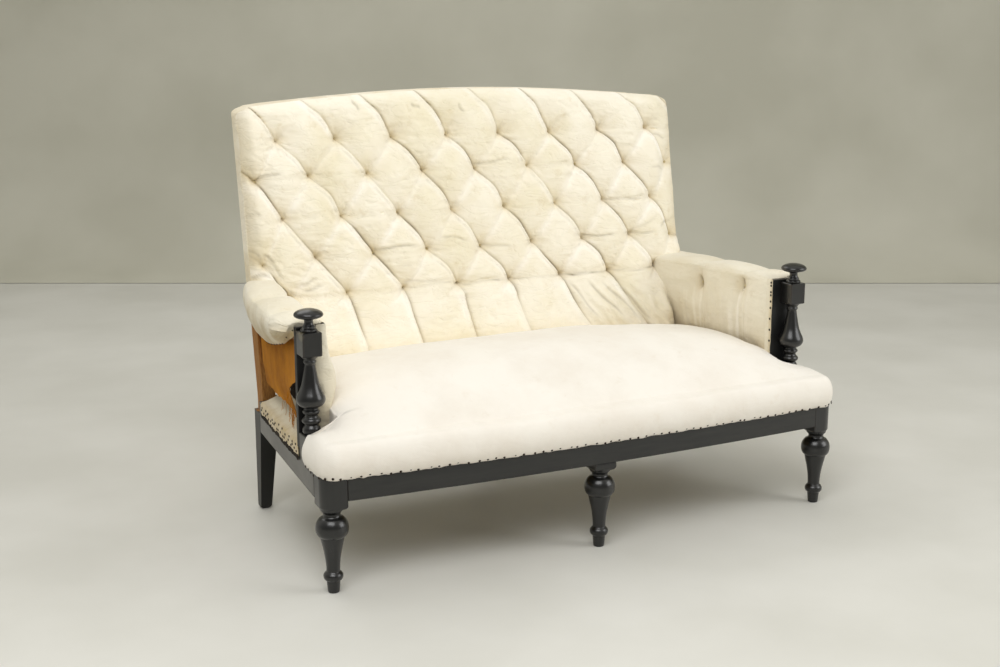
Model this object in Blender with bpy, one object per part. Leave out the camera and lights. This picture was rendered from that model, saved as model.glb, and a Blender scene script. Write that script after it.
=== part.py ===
# Buttoned two-seat sofa: deep-tufted raked back, low padded arms, turned front legs.
# Metres, +Z up. It faces -Y, and the origin is the middle of its footprint on the floor.
# Beech frame with mortise and tenon joints, webbing, coil springs, hessian and calico.

import math

import bmesh
import bpy
from mathutils import Vector

# Clearances
GAP = 0.0003  # between pieces that touch, and round each tenon
SLACK = 0.0008  # between soft pieces
UNDER_SLACK = 0.0030  # over the springs, and under the seat's stuffing
OVERRUN = 0.005  # how far a cutter runs past the face it cuts

# Seat frame
FRONT_LEG_SPREAD = 1.240  # between the axes of the outer front legs
LEG_BLOCK = 0.054  # side of the square block on top of a front leg
BLOCK_DROP = 0.014  # how far that block hangs below the rails
RAIL_BOTTOM = 0.199
RAIL_HEIGHT = 0.075
FRONT_RAIL_THICK = 0.034
FRONT_RAIL_BOW = 0.020  # how far the front rail swells forward at its middle
SIDE_RAIL_THICK = 0.041
BACK_RAIL_THICK = 0.028
BACK_RAIL_INSET = 0.002  # from the rear face of the rear legs
TENON_THICK = 0.010
TENON_LENGTH = 0.016
TENON_SHOULDER = 0.013  # step from a rail's edge to its tenon
DOWEL_RADIUS = 0.009
DOWEL_LENGTH = 0.026

# Rear posts, which are leg and back stile in one
REAR_SPREAD = 1.206  # across the outer faces of the rear legs
POST_WIDTH = 0.041
POST_DEPTH = 0.042
FRAME_DEPTH = 0.575  # front leg axis to the rear face of the rear legs
FOOT_WIDTH = 0.027
FOOT_DEPTH = 0.025
FOOT_CHAMFER = 0.005
STILE_STEP = 0.009  # how far the bare stile stands in from the painted leg
RAKE_SHARE = 0.175  # how far the back leans back for each metre of height

# Back frame
LOWER_RAIL_BOTTOM = 0.352
LOWER_RAIL_HEIGHT = 0.040
CREST_BOTTOM = 0.880
CREST_HEIGHT = 0.052  # at its ends
CREST_ARCH = 0.033  # how much the crest rises at its middle
BAR_THICK = 0.020
BAR_INSET = 0.004  # from the rear face of the stiles
UPRIGHT_WIDTH = 0.046

# Front legs: the turned part, below the block
LEG_SIDES = 12
BULB_RADIUS = 0.0342
LEG_SHARES = (  # height as a share of the turned part, radius as a share of the bulb
    (0.000, 0.36), (0.030, 0.40), (0.155, 0.41), (0.195, 0.605), (0.235, 0.56), (0.265, 0.41),
    (0.420, 0.46), (0.560, 0.55), (0.650, 0.71), (0.695, 0.75), (0.715, 0.90), (0.770, 1.00),
    (0.830, 0.96), (0.880, 0.76), (0.915, 0.53), (0.975, 0.53),
)

# Arm posts
ARM_POST_SETBACK = 0.111  # behind the front legs' axis
ARM_BLOCK = 0.042
ARM_BASE_TOP = 0.309
ARM_BLOCK_BOTTOM = 0.475
ARM_BLOCK_TOP = 0.531
VASE_RADIUS = 0.0303
VASE_SHARES = (  # height as a share of the turned part, radius as a share of the vase
    (0.030, 0.63), (0.135, 0.66), (0.205, 0.60), (0.250, 0.46), (0.290, 0.60), (0.325, 0.46),
    (0.375, 0.87), (0.440, 1.00), (0.510, 0.90), (0.610, 0.67), (0.760, 0.49), (0.870, 0.41),
    (0.910, 0.35), (0.970, 0.48),
)
FINIAL_RADIUS = 0.0305
FINIAL_HEIGHT = 0.0425
FINIAL_SHARES = (  # height as a share of the finial, radius as a share of its cap
    (0.000, 0.57), (0.120, 0.55), (0.240, 0.36), (0.420, 0.31), (0.500, 0.60), (0.560, 0.92),
    (0.690, 1.00), (0.830, 0.90), (0.940, 0.62), (1.000, 0.20),
)
ARM_POST_CUT = 0.090  # width of the flat cut behind an arm post
PEG_RADIUS = 0.006
PEG_LENGTH = 0.011

# Arms
BOARD_THICK = 0.014  # the upright board behind each arm post
BOARD_WIDTH = 0.065
ARM_RAIL_BOTTOM = 0.498
ARM_RAIL_HEIGHT = 0.030
ARM_RAIL_WIDTH = 0.036
ARM_RISE = 0.036  # padding above the arm rail
ARM_SWELL = 0.045  # padding outside the arm rail
ARM_BULGE = 0.024  # swell of the inner arm's padding
ARM_BACKING = 0.004  # inner arm behind its plane
ARM_PANEL_BOTTOM = 0.332
ARM_TUFT_HEIGHT = 0.486
ARM_TUFT_DEPTH = 0.014
ARM_TUFT_SHARES = (0.30, 0.70)  # places of the two arm buttons along the arm
ARM_END_SHARE = 0.6  # fullness of the arm's padding at its ends
ARM_STATIONS = 21
ARM_OUTER_SHARES = ((0.5, 0.1), (0.9, 0.5))  # shares of the swell and of the rail's height
ARM_ROLL_SHARES = ((1.0, 0.0), (0.75, 0.6), (0.2, 0.92))  # shares of the swell and of the rise
ARM_INNER_SHARES = (0.9, 0.5)  # shares of the rise, towards the inner face
ARM_DROP_SHARES = (0.06, 0.25, 0.42, 0.60, 0.80, 1.0)  # shares of the inner panel's height
SLING_THICK = 0.0016  # hessian behind the inner arm
SLING_BOTTOM = 0.352
SLING_BULGE = 0.018
SLING_COLUMNS, SLING_ROWS = 8, 6
FLAP_THICK = 0.0016  # calico tail of the inner arm, tacked to the side rail
FLAP_TAIL = 0.022  # how far it hangs down the side rail's face

# Seat
COVER_THICK = 0.0035  # cloth over the front rail's face
SEAT_BULGE = 0.0095
SEAT_SKIRT = 0.027  # how far the cover hangs below the rails' top
SEAT_EDGE = 0.302  # height of the fullest part of the seat's front edge
SEAT_EDGE_ROLL = 0.018  # from there to the top of the edge
SEAT_CROWN = 0.420
SEAT_REAR = 0.384
SEAT_SIDE = 0.352
SEAT_REAR_GAP = 0.0471  # from the plane of the back's tufts to the seat's rear edge
SEAT_SIDE_GAP = 0.025  # from the rear posts' inner faces to the seat between the arms
SEAT_STATION_SHARES = (0, 0.15, 0.30, 0.45, 0.60, 0.74, 0.86, 0.92)
SEAT_TOP_SHARES = (0.025, 0.09, 0.2, 0.36, 0.56, 0.78, 1.0)
SEAT_UNDER_SHARES = (0.06, 0.14, 0.3, 0.5, 0.7, 0.86, 1.0)
SEAT_CORNER_ANGLES = (-15, 15, 45, 75)  # degrees round a front leg's round corner
SEAT_SIDE_SHARE = 0.75  # of the bulge, at the seat's outermost sections
SPRUNG_RISE = 0.046  # how far the springs lift the hessian
HESSIAN_THICK = 0.0014
WEB_WIDTH = 0.050
WEB_THICK = 0.0012
WEB_INSET = 0.009  # from a rail's outer face to a web's end
LONG_WEBS = 3
CROSS_WEBS = 4
CROSS_WEB_PITCH = 0.285
SPRING_WIRE = 0.0017  # radius
SPRING_END_RADIUS = 0.042
SPRING_WAIST_RADIUS = 0.026
SPRING_TURNS = 3
SPRING_TURN_POINTS = 8

# Back upholstery
SIDE_WRAP = 0.005  # cover and wadding outside the stiles
REAR_WRAP = 0.010  # and behind them
TUFT_PITCH = 0.146  # between the buttons of a row
ROW_PITCH = 0.091
TUFT_BOTTOM = 0.508  # height of the lowest row of buttons
TUFT_ROWS = 5
LONG_ROW_BUTTONS = 8
SHORT_ROW_BUTTONS = 7
TUFT_LIFT = 0.005  # stuffing left behind each button
PILLOW = 0.050  # how far the stuffing stands out between the buttons
PLEAT_SHARE = 0.55  # height of a pleat's middle as a share of the stuffing's
LUMBAR = 0.022  # extra stuffing below the lowest row
BACK_TUCK = 0.388  # where the seat meets the back
BACK_BOTTOM = 0.342
BACK_NOTCH = 0.575  # the back narrows between the arms below this
CREST_PAD = 0.020  # padding over the crest rail
BACK_CORNER = 0.030
EDGE_ROLL = 0.026  # how far the front rolls back at the sides and top
TAIL_DROP = 0.030  # how far the cover reaches down the rear of the crest rail
BACK_ABOVE_SHARES = (0.40, 0.80, 1.0)  # grid lines above the top row
BACK_BELOW_SHARES = (0.15, 0.60)  # grid lines below the bottom row
BACK_CELLS = 3  # grid lines from each row of buttons to the next
TWINE_WIDTH = 0.0016
TWINE_HOLE = 0.0050
TWINE_REACH = 0.100  # how long the cutters for those holes are
BUTTON_RADIUS = 0.0055
BUTTON_THICK = 0.0032
BUTTON_SIDES = 5
BUTTON_DOME_SHARE = 0.55
BUTTON_SEAT_SHARE = 1.55  # height of a button above its tuft, as a share of its radius

# Places that follow from the sizes
RAIL_TOP = RAIL_BOTTOM + RAIL_HEIGHT
BLOCK_BOTTOM = RAIL_BOTTOM - BLOCK_DROP
LEG_X = FRONT_LEG_SPREAD / 2
HALF_BLOCK = LEG_BLOCK / 2
REAR_X = REAR_SPREAD / 2  # outer face of the rear legs
POST_INNER = REAR_X - POST_WIDTH
STILE_X = REAR_X - STILE_STEP
BACK_X = STILE_X + SIDE_WRAP
CREST_TOP = CREST_BOTTOM + CREST_HEIGHT
BACK_TOP = CREST_TOP + CREST_ARCH + CREST_PAD
FRONT_REACH = HALF_BLOCK + FRONT_RAIL_BOW + GAP + COVER_THICK + SEAT_BULGE
REAR_REACH = FRAME_DEPTH + RAKE_SHARE * (BACK_TOP - RAIL_TOP) + REAR_WRAP
FRONT_Y = (FRONT_REACH - REAR_REACH) / 2  # the front legs' axis
POST_BACK = FRONT_Y + FRAME_DEPTH
POST_FRONT = POST_BACK - POST_DEPTH
RAIL_FACE_Y = FRONT_Y - HALF_BLOCK
RAIL_INNER_Y = RAIL_FACE_Y + FRONT_RAIL_THICK
BACK_RAIL_REAR = POST_BACK - BACK_RAIL_INSET
BACK_RAIL_FRONT = BACK_RAIL_REAR - BACK_RAIL_THICK
BAR_BACK = POST_BACK - BAR_INSET
BAR_FRONT = BAR_BACK - BAR_THICK
HESSIAN_FRONT = BAR_FRONT - GAP - HESSIAN_THICK
PAD_BACK = HESSIAN_FRONT - TWINE_WIDTH - 2 * GAP
ARM_POST_Y = FRONT_Y + ARM_POST_SETBACK
BOARD_FRONT = ARM_POST_Y + ARM_BLOCK / 2 + GAP
BOARD_BACK = BOARD_FRONT + BOARD_THICK
ARM_RAIL_TOP = ARM_RAIL_BOTTOM + ARM_RAIL_HEIGHT
SEAT_REAR_Y = PAD_BACK - SEAT_REAR_GAP
SEAT_DEPTH = SEAT_REAR_Y - FRONT_Y
SEAT_HALF_WIDTH = POST_INNER - SEAT_SIDE_GAP
SEAT_BASE = RAIL_TOP + GAP + HESSIAN_THICK + UNDER_SLACK
COVER_BOTTOM = RAIL_TOP - SEAT_SKIRT
SEAT_FACE_X = LEG_X + HALF_BLOCK + GAP
SEAT_EDGE_X = SEAT_FACE_X + COVER_THICK + SEAT_BULGE


# Materials

def srgb(hex_code):
    """Linear colour of an sRGB hex code."""
    parts = [int(hex_code[i:i + 2], 16) / 255 for i in (0, 2, 4)]
    return [c / 12.92 if c <= 0.04045 else ((c + 0.055) / 1.055) ** 2.4 for c in parts] + [1.0]


def make_material(name, hex_code, roughness, metallic=0.0):
    material = bpy.data.materials.new(name)
    material.use_nodes = True
    shader = material.node_tree.nodes["Principled BSDF"]
    shader.inputs["Base Color"].default_value = srgb(hex_code)
    shader.inputs["Roughness"].default_value = roughness
    shader.inputs["Metallic"].default_value = metallic
    return material


# Building blocks

def add_piece(name, form, material, anchor, root):
    """Makes the form an object whose origin is the anchor point."""
    bmesh.ops.recalc_face_normals(form, faces=form.faces)
    bmesh.ops.translate(form, verts=form.verts, vec=-Vector(anchor))
    mesh = bpy.data.meshes.new(name)
    form.to_mesh(mesh)
    form.free()
    mesh.materials.append(material)
    piece = bpy.data.objects.new(name, mesh)
    piece.location = anchor
    piece.parent = root
    bpy.context.scene.collection.objects.link(piece)
    return piece


def shade_round(piece, degrees=40):
    piece.data.shade_smooth()
    piece.data.set_sharp_from_angle(angle=math.radians(degrees))


def loft(rings):
    """A closed form through rings of equal point counts, with a cap on each end."""
    form = bmesh.new()
    loops = [[form.verts.new(point) for point in ring] for ring in rings]
    count = len(loops[0])
    for low, high in zip(loops, loops[1:]):
        for i in range(count):
            j = (i + 1) % count
            form.faces.new((low[i], low[j], high[j], high[i]))
    form.faces.new(loops[0])
    form.faces.new(loops[-1])
    return form


def join_forms(forms):
    """Several closed forms in one."""
    whole = bmesh.new()
    for form in forms:
        bmesh.ops.recalc_face_normals(form, faces=form.faces)
        mesh = bpy.data.meshes.new("share_of_form")
        form.to_mesh(mesh)
        form.free()
        whole.from_mesh(mesh)
        bpy.data.meshes.remove(mesh)
    return whole


def add_boolean(target, form, operation, root):
    """Cuts the form from the target, or joins it on. The helper stays out of the render."""
    name = f"{target.name}_{operation.lower()}_{len(target.modifiers)}"
    helper = add_piece(name, form, target.data.materials[0], (0, 0, 0), root)
    helper.hide_render = True
    helper.display_type = "WIRE"
    modifier = target.modifiers.new(name, "BOOLEAN")
    modifier.operation = operation
    modifier.solver = "EXACT"
    modifier.object = helper


def lean(z):
    """How far the back has leaned at a height."""
    return RAKE_SHARE * (z - RAIL_TOP)


def ring_x(x, y_faces, z_faces, raked=True, grow=0.0):
    """Rectangle across X, sheared to follow the back's rake."""
    y_low, y_high = y_faces[0] - grow, y_faces[1] + grow
    z_low, z_high = z_faces[0] - grow, z_faces[1] + grow
    low, high = (lean(z_low), lean(z_high)) if raked else (0.0, 0.0)
    return [(x, y_low + low, z_low), (x, y_high + low, z_low),
            (x, y_high + high, z_high), (x, y_low + high, z_high)]


def ring_y(y, x_faces, z_faces, shift=0.0):
    """Rectangle across Y, whose upper edge may be shifted along Y."""
    return [(x_faces[0], y, z_faces[0]), (x_faces[1], y, z_faces[0]),
            (x_faces[1], y + shift, z_faces[1]), (x_faces[0], y + shift, z_faces[1])]


def ring_z(z, x_faces, y_faces, grow=0.0):
    x_low, x_high = x_faces[0] - grow, x_faces[1] + grow
    y_low, y_high = y_faces[0] - grow, y_faces[1] + grow
    return [(x_low, y_low, z), (x_high, y_low, z), (x_high, y_high, z), (x_low, y_high, z)]


def box(x_faces, y_faces, z_faces):
    return loft([ring_z(z, x_faces, y_faces) for z in z_faces])


def turned_ring(z, radius, centre, square=False, round_side=0):
    """A circle of points, or as many points round a square of that half-side.
    round_side is the side of the sofa whose front corner stays round."""
    points = []
    for i in range(LEG_SIDES):
        angle = 2 * math.pi * (i + 0.5) / LEG_SIDES
        c, s = math.cos(angle), math.sin(angle)
        outer_front = round_side * c > 0 and s < 0
        reach = radius / max(abs(c), abs(s)) if square and not outer_front else radius
        points.append((centre[0] + reach * c, centre[1] + reach * s, z))
    return points


def dowel(centre, z_low, z_high, radius, grow=0.0):
    return [turned_ring(z, radius + grow, centre) for z in (z_low - grow, z_high + grow)]


def centred(faces, width):
    middle = sum(faces) / 2
    return middle - width / 2, middle + width / 2


def tenon_span(faces):
    """The part of a rail's height that goes on as its tenon."""
    return faces[0] + TENON_SHOULDER, faces[1] - TENON_SHOULDER


def sided(side, x_low, x_high):
    """X faces for one side of the sofa, lowest first."""
    return tuple(sorted((side * x_low, side * x_high)))


def mirrored(right):
    """Stations for both sides from those of the right side, the first of which is central."""
    return [(-x, *rest) for x, *rest in right[:0:-1]] + [tuple(station) for station in right]


def sheet(point, columns, rows, thick):
    """A closed sheet. point(u, v, offset) gives its two faces."""
    form = bmesh.new()
    near, far = [[[form.verts.new(point(i / columns, j / rows, offset)) for i in range(columns + 1)]
                  for j in range(rows + 1)] for offset in (0.0, thick)]
    for j in range(rows):
        for i in range(columns):
            form.faces.new((near[j][i], near[j][i + 1], near[j + 1][i + 1], near[j + 1][i]))
            form.faces.new((far[j][i], far[j + 1][i], far[j + 1][i + 1], far[j][i + 1]))
    rim = [(0, i) for i in range(columns)] + [(j, columns) for j in range(rows)]
    rim += [(rows, i) for i in range(columns, 0, -1)] + [(j, 0) for j in range(rows, 0, -1)]
    for (j0, i0), (j1, i1) in zip(rim, rim[1:] + rim[:1]):
        form.faces.new((near[j0][i0], far[j0][i0], far[j1][i1], near[j1][i1]))
    return form


# Seat frame

def side_outer_x(y):
    """Outer face of the side rails, which close in towards the back."""
    start = FRONT_Y + HALF_BLOCK
    share = (y - start) / (POST_FRONT - start)
    return LEG_X + HALF_BLOCK + share * (REAR_X - LEG_X - HALF_BLOCK)


def front_face_y(x):
    """Front face of the bowed front rail."""
    share = min(1.0, abs(x) / (LEG_X - HALF_BLOCK))
    return RAIL_FACE_Y - FRONT_RAIL_BOW * (1 - share * share)


def tenoned_bar(name, half, y_faces, z_faces, material, root, raked=True):
    """A straight rail along X with a tenon on each end. half runs from its middle to a shoulder."""
    small_y, small_z = centred(y_faces, TENON_THICK), tenon_span(z_faces)
    tip = half + TENON_LENGTH
    rings = [ring_x(-tip, small_y, small_z, raked), ring_x(-half, small_y, small_z, raked),
             ring_x(-half, y_faces, z_faces, raked), ring_x(half, y_faces, z_faces, raked),
             ring_x(half, small_y, small_z, raked), ring_x(tip, small_y, small_z, raked)]
    return add_piece(name, loft(rings), material, (0, y_faces[0], z_faces[0]), root)


def mortise(side, y_faces, z_faces, raked=True):
    """The hole for such a tenon in a rear post's inner face."""
    small_y, small_z = centred(y_faces, TENON_THICK), tenon_span(z_faces)
    return loft([ring_x(side * x, small_y, small_z, raked, GAP)
                 for x in (POST_INNER - OVERRUN, POST_INNER + TENON_LENGTH)])


def side_tenon_ring(side, y, z_faces, grow=0.0):
    outer = side_outer_x(y) - (SIDE_RAIL_THICK - TENON_THICK) / 2
    x_faces = sided(side, outer - TENON_THICK - grow, outer + grow)
    return ring_y(y, x_faces, (z_faces[0] - grow, z_faces[1] + grow))


def side_rail_ring(side, y, z_faces):
    return ring_y(y, sided(side, side_outer_x(y) - SIDE_RAIL_THICK, side_outer_x(y)), z_faces)


def build_front_rail(paint, root):
    rail_z = (RAIL_BOTTOM, RAIL_TOP)
    small_y = centred((RAIL_FACE_Y, RAIL_INNER_Y), TENON_THICK)
    small_z = tenon_span(rail_z)
    half = LEG_X - HALF_BLOCK - GAP
    tip = half + TENON_LENGTH
    steps = 12
    rings = [ring_x(-tip, small_y, small_z, False), ring_x(-half, small_y, small_z, False)]
    for i in range(steps + 1):
        x = half * (2 * i / steps - 1)
        face = front_face_y(x)
        rings.append(ring_x(x, (face, face + FRONT_RAIL_THICK), rail_z, False))
    rings += [ring_x(half, small_y, small_z, False), ring_x(tip, small_y, small_z, False)]
    rail = add_piece("front_rail", loft(rings), paint, (0, front_face_y(0), RAIL_BOTTOM), root)
    z_faces = (RAIL_BOTTOM - OVERRUN, RAIL_BOTTOM + DOWEL_LENGTH)
    hole = dowel(centre_leg_place(), *z_faces, DOWEL_RADIUS, GAP)
    add_boolean(rail, loft(hole), "DIFFERENCE", root)


def build_side_and_back_rails(wood, paint, root):
    rail_z = (RAIL_BOTTOM, RAIL_TOP)
    small_z = tenon_span(rail_z)
    front, rear = FRONT_Y + HALF_BLOCK + GAP, POST_FRONT - GAP
    for side, label in ((-1, "left"), (1, "right")):
        rings = [side_tenon_ring(side, front - TENON_LENGTH, small_z), side_tenon_ring(side, front, small_z),
                 side_rail_ring(side, front, rail_z), side_rail_ring(side, rear, rail_z),
                 side_tenon_ring(side, rear, small_z), side_tenon_ring(side, rear + TENON_LENGTH, small_z)]
        anchor = (side * side_outer_x(front), front, RAIL_BOTTOM)
        rail = add_piece(f"side_rail_{label}", loft(rings), paint, anchor, root)
        centre = (side * arm_post_x(), ARM_POST_Y)
        hole = dowel(centre, RAIL_TOP - DOWEL_LENGTH, RAIL_TOP + OVERRUN, DOWEL_RADIUS, GAP)
        add_boolean(rail, loft(hole), "DIFFERENCE", root)

    back_y = (BACK_RAIL_FRONT, BACK_RAIL_REAR)
    rail = tenoned_bar("back_seat_rail", POST_INNER - GAP, back_y, rail_z, wood, root, False)
    centre = (0, sum(back_y) / 2)
    hole = dowel(centre, RAIL_BOTTOM - OVERRUN, RAIL_BOTTOM + DOWEL_LENGTH, DOWEL_RADIUS, GAP)
    add_boolean(rail, loft(hole), "DIFFERENCE", root)


# Legs

def turned_leg_rings(centre):
    return [turned_ring(share * BLOCK_BOTTOM, radius * BULB_RADIUS, centre) for share, radius in LEG_SHARES]


def centre_leg_place():
    return 0, front_face_y(0) + HALF_BLOCK


def build_front_legs(paint, root):
    small_z = tenon_span((RAIL_BOTTOM, RAIL_TOP))
    small_y = centred((RAIL_FACE_Y, RAIL_INNER_Y), TENON_THICK)
    inner, back = LEG_X - HALF_BLOCK, FRONT_Y + HALF_BLOCK
    for side, label in ((-1, "left"), (1, "right")):
        centre = (side * LEG_X, FRONT_Y)
        rings = turned_leg_rings(centre)
        rings += [turned_ring(z, HALF_BLOCK, centre, True, side) for z in (BLOCK_BOTTOM, RAIL_TOP)]
        leg = add_piece(f"front_leg_{label}", loft(rings), paint, (*centre, 0), root)
        shade_round(leg)
        front_mortise = loft([ring_x(side * x, small_y, small_z, False, GAP)
                              for x in (inner - OVERRUN, inner + TENON_LENGTH)])
        side_mortise = loft([side_tenon_ring(side, y, small_z, GAP)
                             for y in (back - TENON_LENGTH, back + OVERRUN)])
        add_boolean(leg, join_forms([front_mortise, side_mortise]), "DIFFERENCE", root)

    centre = centre_leg_place()
    top = RAIL_BOTTOM - GAP
    rings = turned_leg_rings(centre)
    rings += [turned_ring(z, HALF_BLOCK, centre, True) for z in (BLOCK_BOTTOM, top)]
    rings += dowel(centre, top, RAIL_BOTTOM + DOWEL_LENGTH - GAP, DOWEL_RADIUS)
    shade_round(add_piece("front_leg_centre", loft(rings), paint, (*centre, 0), root))


def build_rear_leg_centre(paint, root):
    """A plain tapered leg under the middle of the back seat rail."""
    rear, middle = BACK_RAIL_REAR, (BACK_RAIL_FRONT + BACK_RAIL_REAR) / 2
    top = RAIL_BOTTOM - GAP
    half_foot, half_top = FOOT_WIDTH / 2, POST_WIDTH / 2
    rings = [ring_z(0, (-half_foot, half_foot), (rear - FOOT_DEPTH, rear)),
             ring_z(BLOCK_BOTTOM, (-half_top, half_top), (BACK_RAIL_FRONT, rear)),
             ring_z(top, (-half_top, half_top), (BACK_RAIL_FRONT, rear))]
    leg = add_piece("rear_leg_centre", loft(rings), paint, (0, middle, 0), root)
    peg = dowel((0, middle), BLOCK_BOTTOM, RAIL_BOTTOM + DOWEL_LENGTH - GAP, DOWEL_RADIUS)
    add_boolean(leg, loft(peg), "UNION", root)


def build_rear_posts(paint, root):
    """Tapered rear legs that run up as the raked stiles of the back."""
    rail_z = (RAIL_BOTTOM, RAIL_TOP)
    small_z = tenon_span(rail_z)
    bar_y = (BAR_FRONT, BAR_BACK)
    foot_inner, foot_front = REAR_X - FOOT_WIDTH, POST_BACK - FOOT_DEPTH
    cut = FOOT_CHAMFER
    top_y = (POST_FRONT + lean(CREST_TOP), POST_BACK + lean(CREST_TOP))
    stations = (
        (0, (foot_inner + cut, REAR_X - cut), (foot_front + cut, POST_BACK - cut)),
        (cut, (foot_inner, REAR_X), (foot_front, POST_BACK)),
        (BLOCK_BOTTOM, (POST_INNER, REAR_X), (POST_FRONT, POST_BACK)),
        (COVER_BOTTOM - GAP, (POST_INNER, REAR_X), (POST_FRONT, POST_BACK)),
        (COVER_BOTTOM, (POST_INNER, STILE_X), (POST_FRONT, POST_BACK)),
        (RAIL_TOP, (POST_INNER, STILE_X), (POST_FRONT, POST_BACK)),
        (CREST_TOP, (POST_INNER, STILE_X), top_y),
    )
    shoulder = arm_rail_end()
    for side, label in ((-1, "left"), (1, "right")):
        rings = [ring_z(z, sided(side, *x_faces), y_faces) for z, x_faces, y_faces in stations]
        post = add_piece(f"rear_post_{label}", loft(rings), paint, (side * REAR_X, POST_BACK, 0), root)
        side_mortise = loft([side_tenon_ring(side, y, small_z, GAP)
                             for y in (POST_FRONT - OVERRUN, POST_FRONT + TENON_LENGTH)])
        arm_mortise = loft([arm_tenon_ring(side, y, GAP)
                            for y in (shoulder - OVERRUN, shoulder + TENON_LENGTH + GAP)])
        holes = [side_mortise, arm_mortise,
                 mortise(side, (BACK_RAIL_FRONT, BACK_RAIL_REAR), rail_z, False),
                 mortise(side, bar_y, (LOWER_RAIL_BOTTOM, LOWER_RAIL_BOTTOM + LOWER_RAIL_HEIGHT)),
                 mortise(side, bar_y, (CREST_BOTTOM, CREST_TOP))]
        add_boolean(post, join_forms(holes), "DIFFERENCE", root)


# Back frame

def crest_rise(x):
    """How much the arched crest has risen at x."""
    return CREST_ARCH * math.cos(min(1.0, abs(x) / BACK_X) * math.pi / 2)


def crest_rings(reach, y_faces, z_low, grow):
    """Stations along the crest rail, whose top edge is arched."""
    steps = 10
    places = [reach * (2 * i / steps - 1) for i in range(steps + 1)]
    return [ring_x(x, y_faces, (z_low, CREST_TOP + crest_rise(x) + grow)) for x in places]


def build_back_frame(wood, root):
    bar_y = (BAR_FRONT, BAR_BACK)
    small_y = centred(bar_y, TENON_THICK)
    lower_z = (LOWER_RAIL_BOTTOM, LOWER_RAIL_BOTTOM + LOWER_RAIL_HEIGHT)
    small_z = tenon_span((CREST_BOTTOM, CREST_TOP))
    half = POST_INNER - GAP
    tip = half + TENON_LENGTH
    lower = tenoned_bar("back_lower_rail", half, bar_y, lower_z, wood, root)
    rings = [ring_x(-tip, small_y, small_z), ring_x(-half, small_y, small_z)]
    rings += crest_rings(half, bar_y, CREST_BOTTOM, 0)
    rings += [ring_x(half, small_y, small_z), ring_x(tip, small_y, small_z)]
    crest = add_piece("crest_rail", loft(rings), wood, (0, BAR_FRONT, CREST_BOTTOM), root)

    # The upright ties the two together, with a tenon at each end.
    low, high = lower_z[1] + GAP, CREST_BOTTOM - GAP
    full_x = (-UPRIGHT_WIDTH / 2, UPRIGHT_WIDTH / 2)
    small_x = tenon_span(full_x)

    def upright_ring(z, x_faces, y_faces, grow=0.0):
        return ring_z(z, x_faces, (y_faces[0] + lean(z), y_faces[1] + lean(z)), grow)

    rings = [upright_ring(low - TENON_LENGTH, small_x, small_y), upright_ring(low, small_x, small_y),
             upright_ring(low, full_x, bar_y), upright_ring(high, full_x, bar_y),
             upright_ring(high, small_x, small_y), upright_ring(high + TENON_LENGTH, small_x, small_y)]
    add_piece("back_upright", loft(rings), wood, (0, BAR_FRONT, low), root)
    for bar, ends in ((lower, (low - TENON_LENGTH - GAP, low + OVERRUN)),
                      (crest, (high - OVERRUN, high + TENON_LENGTH + GAP))):
        hole = [upright_ring(z, small_x, small_y, GAP) for z in ends]
        add_boolean(bar, loft(hole), "DIFFERENCE", root)


# Arm frames

def arm_post_x():
    """The arm post stands over the middle of its side rail."""
    return side_outer_x(ARM_POST_Y) - SIDE_RAIL_THICK / 2


def board_inner_x():
    return arm_post_x() + ARM_BLOCK / 2 - BOARD_WIDTH


def arm_rail_end():
    """Shoulder of the arm rail where it meets the stile, at the rail's lower edge."""
    return POST_FRONT + lean(ARM_RAIL_BOTTOM) - GAP


def arm_outer_x(y):
    """Outer face of the arm rail, which runs from the board to the stile."""
    share = (y - BOARD_BACK) / (arm_rail_end() - BOARD_BACK)
    front = arm_post_x() + ARM_RAIL_WIDTH / 2
    return front + share * (STILE_X - front)


def arm_tenon_ring(side, y, grow=0.0, raked=False):
    """Section of the arm rail's tenon. A raked one lies along the stile's front face."""
    width = TENON_THICK + 2 * grow
    z_faces = centred((ARM_RAIL_BOTTOM, ARM_RAIL_TOP), width)
    low, high = y, y
    if raked:
        low, high = [y + lean(z) - lean(ARM_RAIL_BOTTOM) for z in z_faces]
    middle = arm_outer_x((low + high) / 2) - ARM_RAIL_WIDTH / 2
    return ring_y(low, sided(side, *centred((middle, middle), width)), z_faces, high - low)


def arm_rail_ring(side, y, shift=0.0):
    x_faces = sided(side, arm_outer_x(y) - ARM_RAIL_WIDTH, arm_outer_x(y))
    return ring_y(y, x_faces, (ARM_RAIL_BOTTOM, ARM_RAIL_TOP), shift)


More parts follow.
